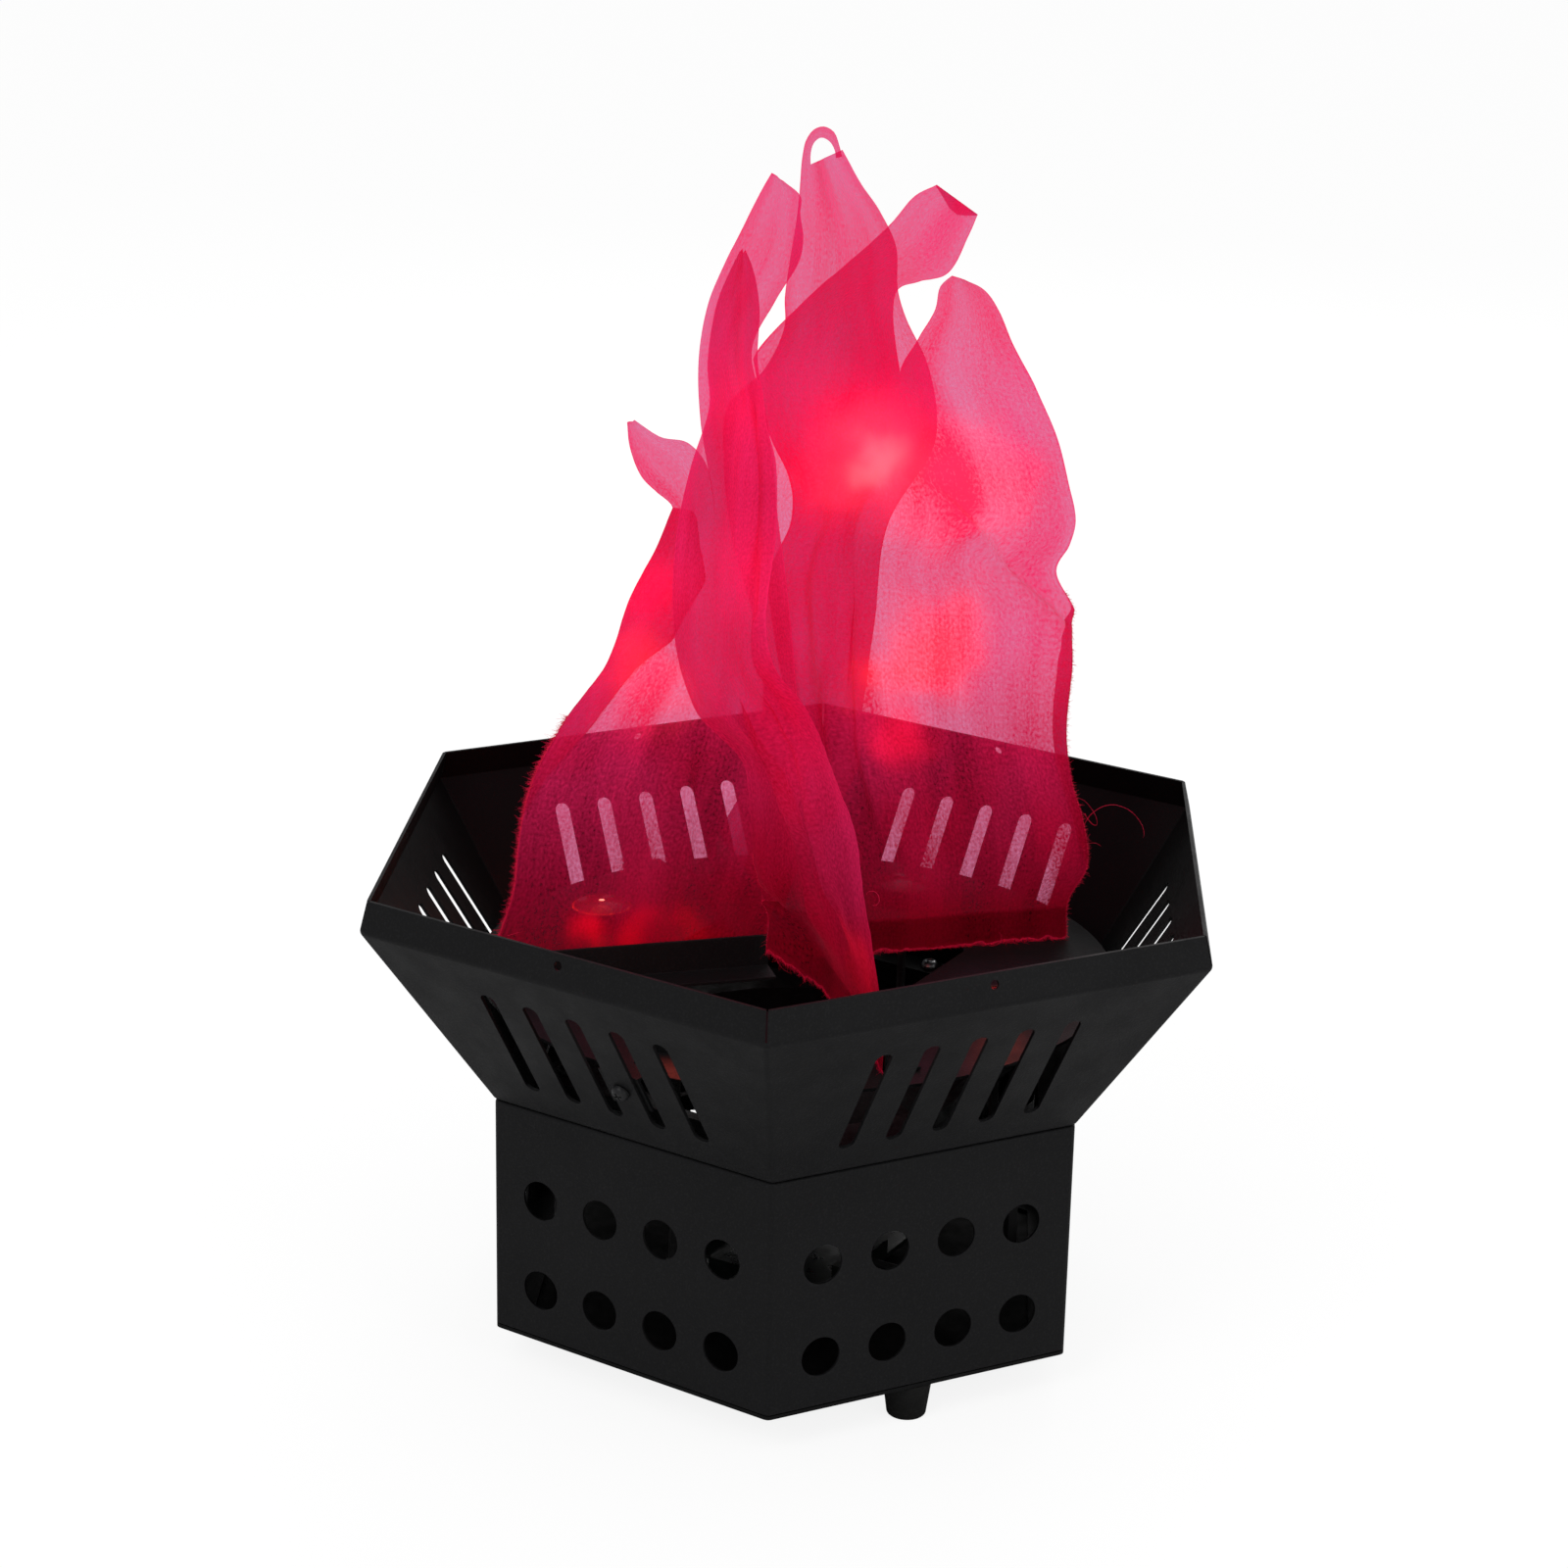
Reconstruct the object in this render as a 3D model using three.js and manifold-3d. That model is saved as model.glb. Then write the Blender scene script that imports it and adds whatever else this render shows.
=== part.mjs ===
// Silk flame effect light: a flared hexagonal steel basket on a perforated steel box. A fan in the
// box blows four pieces of silk up from a cross of angle bars, and four lens lights colour them.
// Millimetres, +Z up. The origin is on the ground, under the middle of the basket.

import * as THREE from "three";
import { mergeVertices } from "three/addons/utils/BufferGeometryUtils.js";
import Module from "manifold-3d";

const wasm = await Module();
wasm.setup();

// Fits
const seat = 0.3; // gap between two pieces that rest on each other
const overrun = 3; // how far a cut runs past the piece it cuts
const weld = 0.0001; // points closer than this are one point

// Steel sheet
const sheet = 1; // box, basket, deck and angle bars
const plateSheet = 1.2; // bottom plate
const bendRound = 2; // outer radius of a folded corner
const edgeRound = 0.8; // outer radius of a turned-in lip
const lipWidth = 11; // turned-in lips at the waist and at the bottom

// Heights and widths of the body
const footHeight = 12;
const boxHeight = 77.2; // from the bottom plate's underside to the waist
const flareRise = 60.8;
const rimRise = 9.6;
const boxFlats = 176.4; // across the flats of the box
const foldFlats = 250; // across the flats at the basket's fold
const rimLean = 2.25; // how far each rim band leans in

// Deck, bars and silks
const deckHeight = 28.9; // top of the deck above the waist
const deckGap = 4.52; // from the deck's rim to the flared wall, at the deck's top
const airOpening = 80; // side of the square opening in the deck
const crossAngle = 18.4; // degrees from +X to the first bar
const barStart = 10; // inner end of a bar, from the middle
const barInset = 9.5; // from a bar's outer end to the deck's rim
const barHeight = 11;
const barFoot = 10; // width of the bar's flat leg
const barOffset = 2.7; // from the middle line to the bar's silk side
const silkThickness = 1;
const hemDrop = 0.8; // gap under the silk's hem, above the deck
const hemLift = 1.5; // the silk stands straight to this far above its bar
const flameSpread = 100; // what the silks' sideways shares are shares of
const flameHeight = 250; // from the top of the bars to the highest silk

// Fan
const fanSide = 120;
const fanDepth = 25;
const fanBore = 112;
const fanHoleSpacing = 105;
const fanCornerRound = 8;
const fanTopGap = 1.1; // under the box's upper lip

// Screws
const headWidth = 5.8;
const headHeight = 2.2;
const shankWidth = 3;
const screwClearance = 0.35; // round a shank, on each side
const recessWidth = 0.9; // of one arm of the cross
const recessSpan = 3.2;
const recessDepth = 1.1;

// Places worked out from the sizes above
const degree = Math.PI / 180;
const sides = 6;
const sixth = (2 * Math.PI) / sides;
const firstCorner = -Math.PI / 2;
const firstPanel = firstCorner + sixth / 2;
const boxApothem = boxFlats / 2;
const foldApothem = foldFlats / 2;
const plateTop = footHeight + plateSheet;
const waist = footHeight + boxHeight;
const fold = waist + flareRise;
const rimTop = fold + rimRise;
const lipApothem = boxApothem - lipWidth;
const flareLean = Math.atan((foldApothem - boxApothem) / flareRise);
const flareSlant = Math.hypot(foldApothem - boxApothem, flareRise);
const rimTilt = Math.atan(rimLean / rimRise);
const flareWall = sheet / Math.cos(flareLean); // the flared wall's thickness, measured level
const deckTop = waist + deckHeight;
const deckUnderside = deckTop - sheet;
const barTop = deckTop + seat + barHeight;
const fanTop = waist - seat - sheet - fanTopGap;
const fanBottom = fanTop - fanDepth;
const standoffHeight = fanBottom - seat - (plateTop + seat);
const shankHole = shankWidth / 2 + screwClearance;
const deckRadius = boxApothem + deckHeight * Math.tan(flareLean) - flareWall - deckGap;
const barEnd = deckRadius - barInset;

// Finishes
const paint = new THREE.MeshStandardMaterial({ color: 0x1c1c1e, roughness: 0.55, metalness: 0.3 });
const plating = new THREE.MeshStandardMaterial({ color: 0x9a9a9c, roughness: 0.35, metalness: 1 });
const blackPlating = new THREE.MeshStandardMaterial({ color: 0x18181a, roughness: 0.4, metalness: 0.8 });
const rubber = new THREE.MeshStandardMaterial({ color: 0x141414, roughness: 0.85, metalness: 0 });
const moulding = new THREE.MeshStandardMaterial({ color: 0x202022, roughness: 0.6, metalness: 0 });
const silk = new THREE.MeshStandardMaterial({ color: 0xe8245c, roughness: 0.7, metalness: 0 });
const lensClear = new THREE.MeshStandardMaterial({ color: 0xffd0c0, roughness: 0.1, metalness: 0 });
const boardWhite = new THREE.MeshStandardMaterial({ color: 0xd8d8d0, roughness: 0.5, metalness: 0.2 });
const boardGreen = new THREE.MeshStandardMaterial({ color: 0x1f5a34, roughness: 0.5, metalness: 0 });
const leadBlack = new THREE.MeshStandardMaterial({ color: 0x111111, roughness: 0.6, metalness: 0 });

// Joining and cutting

function solid(geometry) {
  const bare = geometry.index ? geometry.toNonIndexed() : geometry.clone();
  for (const name of Object.keys(bare.attributes)) {
    if (name !== "position") bare.deleteAttribute(name);
  }
  const merged = mergeVertices(bare, weld);
  const vertProperties = merged.attributes.position.array;
  const triVerts = new Uint32Array(merged.index.array);
  return new wasm.Manifold(new wasm.Mesh({ numProp: 3, vertProperties, triVerts }));
}

function geometryOf(made) {
  const mesh = made.getMesh();
  const geometry = new THREE.BufferGeometry();
  geometry.setAttribute("position", new THREE.BufferAttribute(mesh.vertProperties, 3));
  geometry.setIndex(new THREE.BufferAttribute(mesh.triVerts, 1));
  geometry.computeVertexNormals();
  return geometry;
}

function join(geometries) {
  const solids = geometries.map(solid);
  return geometryOf(solids.reduce((all, next) => all.add(next)));
}

function cut(geometry, tools) {
  return geometryOf(tools.reduce((left, tool) => left.subtract(solid(tool)), solid(geometry)));
}

// Simple shapes

function rod(radius, bottom, top, facets) {
  const made = new THREE.CylinderGeometry(radius, radius, top - bottom, facets);
  return made.rotateX(Math.PI / 2).translate(0, 0, (bottom + top) / 2);
}

function block(low, high) {
  const size = high.map((value, axis) => value - low[axis]);
  const middle = high.map((value, axis) => (value + low[axis]) / 2);
  return new THREE.BoxGeometry(...size).translate(...middle);
}

// A turned piece about Z. The profile's points are [radius, height], going round anticlockwise.
function turned(profile, facets) {
  const points = profile.map(([radius, height]) => new THREE.Vector2(radius, height));
  if (profile[0][0] > 0) points.push(points[0].clone());
  return new THREE.LatheGeometry(points, facets).rotateX(Math.PI / 2);
}

function circlePoints(radius, facets, centreX = 0, centreY = 0) {
  const points = [];
  for (let facet = 0; facet < facets; facet += 1) {
    const turn = (2 * Math.PI * facet) / facets;
    points.push(new THREE.Vector2(centreX + radius * Math.cos(turn), centreY + radius * Math.sin(turn)));
  }
  return points;
}

function flatPlate(outline, holes, bottom, top) {
  const shape = new THREE.Shape(outline);
  for (const hole of holes) shape.holes.push(new THREE.Path(hole));
  const made = new THREE.ExtrudeGeometry(shape, { depth: top - bottom, bevelEnabled: false });
  return made.translate(0, 0, bottom);
}

// A folded hexagon's outline with rounded corners, at one height

const cornerSteps = 2;

function hexRing(apothem, height, round) {
  const points = [];
  const centre = (apothem - round) / Math.cos(sixth / 2);
  for (let corner = 0; corner < sides; corner += 1) {
    const middle = firstCorner + corner * sixth;
    for (let step = 0; step <= cornerSteps; step += 1) {
      const turn = middle + (step / cornerSteps - 1 / 2) * sixth;
      const x = centre * Math.cos(middle) + round * Math.cos(turn);
      const y = centre * Math.sin(middle) + round * Math.sin(turn);
      points.push(new THREE.Vector3(x, y, height));
    }
  }
  return points;
}

// A shell swept round the hexagon. The profile's points are [apothem, height, corner radius].
function hexShell(profile) {
  const rings = profile.map(([apothem, height, round]) => hexRing(apothem, height, round));
  const count = rings[0].length;
  const index = [];
  rings.forEach((ring, row) => {
    const next = (row + 1) % rings.length;
    for (let at = 0; at < count; at += 1) {
      const beside = (at + 1) % count;
      const a = row * count + at;
      const b = row * count + beside;
      const c = next * count + beside;
      const d = next * count + at;
      index.push(a, b, c, a, c, d);
    }
  });
  const geometry = new THREE.BufferGeometry().setFromPoints(rings.flat());
  geometry.setIndex(index);
  return geometry;
}

// A panel's own frame: x runs round the body, y up the panel and z out of it.
function panelFrame(angle, lean, apothem, height) {
  const along = new THREE.Vector3(-Math.sin(angle), Math.cos(angle), 0);
  const reach = Math.sin(lean);
  const up = new THREE.Vector3(reach * Math.cos(angle), reach * Math.sin(angle), Math.cos(lean));
  const out = new THREE.Vector3().crossVectors(along, up);
  const frame = new THREE.Matrix4().makeBasis(along, up, out);
  return frame.setPosition(apothem * Math.cos(angle), apothem * Math.sin(angle), height);
}

function panelAngle(panel) {
  return firstPanel + panel * sixth;
}

// Box: rows of round vent holes, and lips turned in at the bottom and at the waist

const ventRadius = 6.35;
const ventFacets = 12;
const ventPitch = 22.4;
const ventColumns = 4;
const ventLowerRow = 17.5; // above the bottom plate's underside
const ventUpperRow = 47.8;
const footRing = 81; // feet and their screws, from the middle
const footPanels = [0, 2, 4];
const waistScrewRing = 82.5;
const waistScrewPanels = [0, 2, 4];
const smallHoleFacets = 8;
const jackPanel = 2;
const jackHoleRadius = 5.5;
const jackHeight = 32.65; // above the bottom plate's underside

function baseShell() {
  const bottom = plateTop + seat;
  const top = waist - seat;
  const insideRound = bendRound - sheet;
  const shell = hexShell([
    [lipApothem, bottom, insideRound],
    [boxApothem, bottom, bendRound],
    [boxApothem, top - edgeRound, bendRound],
    [boxApothem - edgeRound, top, bendRound],
    [lipApothem, top, insideRound],
    [lipApothem, top - sheet, insideRound],
    [boxApothem - sheet, top - sheet, insideRound],
    [boxApothem - sheet, bottom + sheet, insideRound],
    [lipApothem, bottom + sheet, insideRound],
  ]);
  const tools = [];
  for (let panel = 0; panel < sides; panel += 1) {
    const frame = panelFrame(panelAngle(panel), 0, boxApothem, footHeight);
    for (const rowHeight of [ventLowerRow, ventUpperRow]) {
      for (let column = 0; column < ventColumns; column += 1) {
        const across = (column - (ventColumns - 1) / 2) * ventPitch;
        const hole = rod(ventRadius, -sheet - overrun, overrun, ventFacets);
        tools.push(hole.translate(across, rowHeight, 0).applyMatrix4(frame));
      }
    }
  }
  const jackFrame = panelFrame(panelAngle(jackPanel), 0, boxApothem, footHeight);
  const jackHole = rod(jackHoleRadius, -sheet - overrun, overrun, ventFacets);
  tools.push(jackHole.translate(0, jackHeight, 0).applyMatrix4(jackFrame));
  for (const panel of footPanels) {
    const hole = rod(shankHole, bottom - overrun, bottom + sheet + overrun, smallHoleFacets);
    tools.push(hole.translate(footRing, 0, 0).rotateZ(panelAngle(panel)));
  }
  for (const panel of waistScrewPanels) {
    const hole = rod(shankHole, top - sheet - overrun, top + overrun, smallHoleFacets);
    tools.push(hole.translate(waistScrewRing, 0, 0).rotateZ(panelAngle(panel)));
  }
  return cut(shell, tools);
}

// Basket: slots up each flared panel, a rim band leaning in with a slit at each corner

const slotWidth = 5.3;
const slotPitch = 15.4;
const slotsPerPanel = 5;
const slotStart = 11.9; // lower end of a slot, up the slant
const slotEnd = 56.8;
const slotEndSteps = 3;
const bandHoleRadius = 1.4;
const bandHoleRise = 6.4; // above the fold
const cornerSlit = 0.5;
const tabPanels = [1, 3, 5];
const tabShift = 6.9; // from a panel's middle line to its screw
const tabScrewRise = 22.7; // above the waist

function slotOutline() {
  const points = [];
  const radius = slotWidth / 2;
  const ends = [
    [slotEnd - radius, 0],
    [slotStart + radius, Math.PI],
  ];
  for (const [centre, start] of ends) {
    for (let step = 0; step <= slotEndSteps; step += 1) {
      const turn = start + (Math.PI * step) / slotEndSteps;
      points.push(new THREE.Vector2(radius * Math.cos(turn), centre + radius * Math.sin(turn)));
    }
  }
  return points;
}

function bowlShell() {
  const insideRound = bendRound - sheet;
  const bandWall = sheet / Math.cos(rimTilt);
  const cornerRise = (flareWall - bandWall) / (Math.tan(flareLean) + Math.tan(rimTilt));
  const cornerApothem = foldApothem + cornerRise * Math.tan(flareLean) - flareWall;
  const shell = hexShell([
    [lipApothem, waist, insideRound],
    [boxApothem - edgeRound, waist, bendRound],
    [boxApothem + edgeRound * Math.tan(flareLean), waist + edgeRound, bendRound],
    [foldApothem, fold, bendRound],
    [foldApothem - rimLean, rimTop, bendRound],
    [foldApothem - rimLean - bandWall, rimTop, insideRound],
    [cornerApothem, fold + cornerRise, insideRound],
    [boxApothem + sheet * Math.tan(flareLean) - flareWall, waist + sheet, insideRound],
    [lipApothem, waist + sheet, insideRound],
  ]);
  const tools = [];
  for (let panel = 0; panel < sides; panel += 1) {
    const frame = panelFrame(panelAngle(panel), flareLean, boxApothem, waist);
    for (let slot = 0; slot < slotsPerPanel; slot += 1) {
      const across = (slot - (slotsPerPanel - 1) / 2) * slotPitch;
      const tool = flatPlate(slotOutline(), [], -sheet - overrun, overrun);
      tools.push(tool.translate(across, 0, 0).applyMatrix4(frame));
    }
    const bandFrame = panelFrame(panelAngle(panel), -rimTilt, foldApothem, fold);
    const bandHole = rod(bandHoleRadius, -sheet - overrun, overrun, smallHoleFacets);
    tools.push(bandHole.translate(0, bandHoleRise, 0).applyMatrix4(bandFrame));
    const slit = block(
      [foldApothem - rimLean, -cornerSlit / 2, fold + sheet],
      [foldApothem / Math.cos(sixth / 2) + overrun, cornerSlit / 2, rimTop + overrun],
    );
    tools.push(slit.rotateZ(firstCorner + panel * sixth));
  }
  for (const panel of tabPanels) {
    const frame = panelFrame(panelAngle(panel), flareLean, boxApothem, waist);
    const hole = rod(shankHole, -sheet - overrun, overrun, smallHoleFacets);
    tools.push(hole.translate(tabShift, tabScrewRise / Math.cos(flareLean), 0).applyMatrix4(frame));
  }
  for (const panel of waistScrewPanels) {
    const hole = rod(shankHole, waist - overrun, waist + sheet + overrun, smallHoleFacets);
    tools.push(hole.translate(waistScrewRing, 0, 0).rotateZ(panelAngle(panel)));
  }
  return cut(shell, tools);
}

// Bottom plate

function bottomPlate() {
  const outline = hexRing(boxApothem, 0, bendRound).map((point) => new THREE.Vector2(point.x, point.y));
  const holes = footPanels.map((panel) => {
    const angle = panelAngle(panel);
    return circlePoints(shankHole, smallHoleFacets, footRing * Math.cos(angle), footRing * Math.sin(angle));
  });
  const corner = (fanHoleSpacing / 2) * Math.SQRT2;
  for (let quarter = 0; quarter < 4; quarter += 1) {
    const angle = (crossAngle + quarter * 90) * degree;
    const radius = spigotRadius + seat;
    holes.push(circlePoints(radius, smallHoleFacets, corner * Math.cos(angle), corner * Math.sin(angle)));
  }
  return flatPlate(outline, holes, footHeight, plateTop);
}

// Deck: a round plate with a square opening, four lens holes and three tabs bent down to the wall

const lensRing = 73; // middle of a lens, from the middle of the deck
const lensRadius = 9.5;
const holderWall = 1.1;
const lensHoleFacets = 20;
const lensHoleRadius = (lensRadius + holderWall + 2 * seat) / Math.cos(Math.PI / lensHoleFacets);
const deckFacets = 54;
const tabWidth = 14;
const tabDrop = 13;
const tabRoot = 5; // how far a tab laps onto the disc
const barScrewInset = 12.5; // from a bar's outer end to its screw
const barScrewRing = barEnd - barScrewInset;

function deckTab() {
  const wallInside = (height) => boxApothem + (height - waist) * Math.tan(flareLean) - flareWall;
  const outside = (height) => wallInside(height) - seat / Math.cos(flareLean);
  const inside = (height) => outside(height) - flareWall;
  const tabBottom = deckTop - tabDrop;
  const outline = [
    new THREE.Vector2(deckRadius - tabRoot, deckUnderside),
    new THREE.Vector2(inside(deckUnderside), deckUnderside),
    new THREE.Vector2(inside(tabBottom), tabBottom),
    new THREE.Vector2(outside(tabBottom), tabBottom),
    new THREE.Vector2(outside(deckTop), deckTop),
    new THREE.Vector2(deckRadius - tabRoot, deckTop),
  ];
  const tab = flatPlate(outline, [], -tabWidth / 2, tabWidth / 2);
  return tab.rotateX(Math.PI / 2).translate(0, tabShift, 0);
}

function deckPlate() {
  const half = airOpening / 2;
  const square = [
    [-half, -half],
    [half, -half],
    [half, half],
    [-half, half],
  ];
  const diagonal = (crossAngle + 45) * degree;
  const turn = (x, y, angle) =>
    new THREE.Vector2(x * Math.cos(angle) - y * Math.sin(angle), x * Math.sin(angle) + y * Math.cos(angle));
  const holes = [square.map(([x, y]) => turn(x, y, diagonal))];
  for (let quarter = 0; quarter < 4; quarter += 1) {
    const lens = turn(lensRing, 0, diagonal + (quarter * Math.PI) / 2);
    holes.push(circlePoints(lensHoleRadius, lensHoleFacets, lens.x, lens.y));
    const screwY = barOffset + sheet + barFoot / 2;
    const screw = turn(barScrewRing, screwY, (crossAngle + quarter * 90) * degree);
    holes.push(circlePoints(shankHole, smallHoleFacets, screw.x, screw.y));
  }
  const disc = flatPlate(circlePoints(deckRadius, deckFacets), holes, deckUnderside, deckTop);
  const tabs = tabPanels.map((panel) => deckTab().rotateZ(panelAngle(panel)));
  const tools = tabPanels.map((panel) => {
    const frame = panelFrame(panelAngle(panel), flareLean, boxApothem, waist);
    const hole = rod(shankHole, -sheet - tabWidth, overrun, smallHoleFacets);
    return hole.translate(tabShift, tabScrewRise / Math.cos(flareLean), 0).applyMatrix4(frame);
  });
  return cut(join([disc, ...tabs]), tools);
}

// Pan-head screw: the underside of the head is at height 0 and the shank goes down

const headFacets = 8;
const headShoulderShares = [1, 0.45];
const headCrownShares = [0.66, 0.9];

function screwGeometry(length, recessed) {
  const head = headWidth / 2;
  const tall = headHeight;
  const shank = shankWidth / 2;
  const body = turned(
    [
      [0, -length],
      [shank, -length],
      [shank, 0],
      [head, 0],
      [head * headShoulderShares[0], tall * headShoulderShares[1]],
      [head * headCrownShares[0], tall * headCrownShares[1]],
      [0, tall],
    ],
    headFacets,
  );
  if (!recessed) return body;
  const low = [-recessSpan / 2, -recessWidth / 2, tall - recessDepth];
  const high = [recessSpan / 2, recessWidth / 2, tall + overrun];
  const arms = [0, Math.PI / 2].map((turn) => block(low, high).rotateZ(turn));
  return cut(body, arms);
}

// Rubber foot with a deep bore for its screw

const footTopRadius = 7.5;
const footBottomRadius = 6.1;
const footBoreRadius = 3.7;
const footBoreDepth = 5;
const footFacets = 14;

function rubberFoot() {
  return turned(
    [
      [footBoreRadius, 0],
      [footBottomRadius, 0],
      [footTopRadius, footHeight - seat],
      [shankHole, footHeight - seat],
      [shankHole, footBoreDepth],
      [footBoreRadius, footBoreDepth],
    ],
    footFacets,
  );
}

// Angle bar: x runs out from the middle, the silk hangs on the low y side

function silkBar() {
  const bottom = deckTop + seat;
  const upright = block([barStart, barOffset, bottom], [barEnd, barOffset + sheet, barTop]);
  const flat = block([barStart, barOffset, bottom], [barEnd, barOffset + sheet + barFoot, bottom + sheet]);
  const hole = rod(shankHole, bottom - overrun, bottom + sheet + overrun, smallHoleFacets);
  const screwY = barOffset + sheet + barFoot / 2;
  return cut(join([upright, flat]), [hole.translate(barScrewRing, screwY, 0)]);
}

// Silks. A row has the left edge, then the right edge: sideways, back and up, as shares of the
// flame's spread and height. Left and right are as seen from the front, which is -Y.

const leftBaseShares = [
  [-0.84, -0.29, 0.13, -0.03, -0.05, 0.08],
  [-0.8, -0.27, 0.22, 0, -0.05, 0.18],
  [-0.69, -0.24, 0.31, 0, -0.05, 0.28],
  [-0.58, -0.21, 0.38, -0.02, -0.05, 0.36],
  [-0.49, -0.17, 0.47, -0.05, -0.05, 0.44],
  [-0.39, -0.13, 0.556, -0.08, -0.04, 0.53],
];
const leftCurlShares = [
  [-0.46, -0.14, 0.584, -0.29, -0.1, 0.6],
  [-0.5, -0.15, 0.62, -0.34, -0.11, 0.62],
  [-0.515, -0.16, 0.645, -0.44, -0.14, 0.635],
  [-0.525, -0.17, 0.662, -0.5, -0.17, 0.658],
];
const leftTongueShares = [
  [-0.31, -0.06, 0.65, -0.09, -0.03, 0.65],
  [-0.32, -0.04, 0.73, -0.1, -0.02, 0.73],
  [-0.27, -0.03, 0.804, -0.09, -0.01, 0.796],
  [-0.22, -0.02, 0.856, -0.05, 0, 0.86],
  [-0.16, -0.01, 0.908, -0.05, 0, 0.908],
  [-0.13, -0.01, 0.94, -0.1, 0, 0.936],
];
const rightBaseShares = [
  [0.04, 0.02, 0.08, 0.91, 0.27, 0.04],
  [0, 0.04, 0.18, 0.88, 0.27, 0.11],
  [-0.04, 0.05, 0.26, 0.83, 0.26, 0.21],
  [-0.08, 0.06, 0.34, 0.84, 0.25, 0.3],
  [-0.12, 0.07, 0.42, 0.83, 0.24, 0.39],
  [-0.16, 0.07, 0.49, 0.77, 0.23, 0.46],
  [-0.18, 0.08, 0.556, 0.81, 0.22, 0.52],
  [-0.13, 0.08, 0.62, 0.75, 0.2, 0.58],
  [-0.15, 0.08, 0.7, 0.69, 0.18, 0.67],
];
const rightRibbonShares = [
  [0.05, 0.09, 0.78, 0.25, 0.11, 0.8],
  [0.13, 0.09, 0.84, 0.32, 0.12, 0.81],
  [0.22, 0.1, 0.88, 0.4, 0.12, 0.824],
  [0.3, 0.1, 0.91, 0.46, 0.13, 0.87],
  [0.36, 0.11, 0.93, 0.48, 0.14, 0.89],
];
const rightTongueShares = [
  [0.33, 0.12, 0.74, 0.62, 0.17, 0.72],
  [0.38, 0.13, 0.77, 0.59, 0.16, 0.756],
  [0.38, 0.13, 0.8, 0.54, 0.16, 0.788],
  [0.41, 0.13, 0.82, 0.5, 0.15, 0.804],
];
const backShares = [
  [-0.3, 0.8, 0.08, 0.02, 0.14, 0.08],
  [-0.3, 0.66, 0.18, 0.16, 0.18, 0.18],
  [-0.3, 0.5, 0.28, 0.18, 0.2, 0.27],
  [-0.29, 0.38, 0.38, 0.21, 0.21, 0.37],
  [-0.28, 0.3, 0.48, 0.24, 0.22, 0.5],
  [-0.27, 0.26, 0.57, 0.37, 0.22, 0.6],
  [-0.26, 0.24, 0.64, 0.38, 0.22, 0.64],
  [-0.12, 0.23, 0.68, 0.31, 0.22, 0.7],
  [-0.08, 0.23, 0.74, 0.24, 0.22, 0.79],
  [-0.06, 0.23, 0.82, 0.21, 0.22, 0.87],
  [-0.04, 0.23, 0.89, 0.14, 0.22, 0.92],
  [-0.04, 0.24, 0.95, 0.06, 0.22, 0.96],
  [-0.03, 0.26, 0.98, 0.05, 0.21, 0.985],
  [0, 0.27, 0.995, 0.03, 0.2, 1],
];
const frontShares = [
  [-0.11, -0.14, 0.08, 0.23, -0.76, 0.18],
  [-0.13, -0.18, 0.16, 0.18, -0.68, 0.24],
  [-0.17, -0.22, 0.24, 0.11, -0.58, 0.3],
  [-0.3, -0.26, 0.3, 0.04, -0.48, 0.35],
  [-0.35, -0.28, 0.36, -0.04, -0.4, 0.4],
  [-0.37, -0.28, 0.456, -0.08, -0.32, 0.464],
  [-0.36, -0.26, 0.54, -0.11, -0.26, 0.544],
  [-0.33, -0.23, 0.62, -0.12, -0.22, 0.62],
  [-0.3, -0.2, 0.7, -0.13, -0.2, 0.7],
  [-0.28, -0.18, 0.78, -0.14, -0.18, 0.78],
  [-0.24, -0.17, 0.836, -0.16, -0.17, 0.836],
  [-0.21, -0.16, 0.868, -0.185, -0.16, 0.864],
];

const foldDepth = 3.2; // how far a soft fold stands out of the cloth
const foldStartShare = 0.12; // part of the height over which folds grow from the straight bar
const columns = 12;
const rowsPerStep = 1.3; // rows of the solid for each row of shares

// Where a bar holds its silk: the two ends of the hem and of the line just over the bar's top
function hemRows(quarter, outerOnLeft) {
  const angle = (crossAngle + quarter * 90) * degree;
  const side = barOffset - seat - silkThickness / 2;
  const place = (radius, height) =>
    new THREE.Vector3(
      radius * Math.cos(angle) - side * Math.sin(angle),
      radius * Math.sin(angle) + side * Math.cos(angle),
      height,
    );
  const [left, right] = outerOnLeft ? [barEnd, barStart] : [barStart, barEnd];
  return [deckTop + hemDrop, barTop + hemLift].map((height) => [place(left, height), place(right, height)]);
}

function shareRows(shares) {
  return shares.map(([lx, ly, lz, rx, ry, rz]) => [
    new THREE.Vector3(lx * flameSpread, ly * flameSpread, barTop + lz * flameHeight),
    new THREE.Vector3(rx * flameSpread, ry * flameSpread, barTop + rz * flameHeight),
  ]);
}

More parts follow.
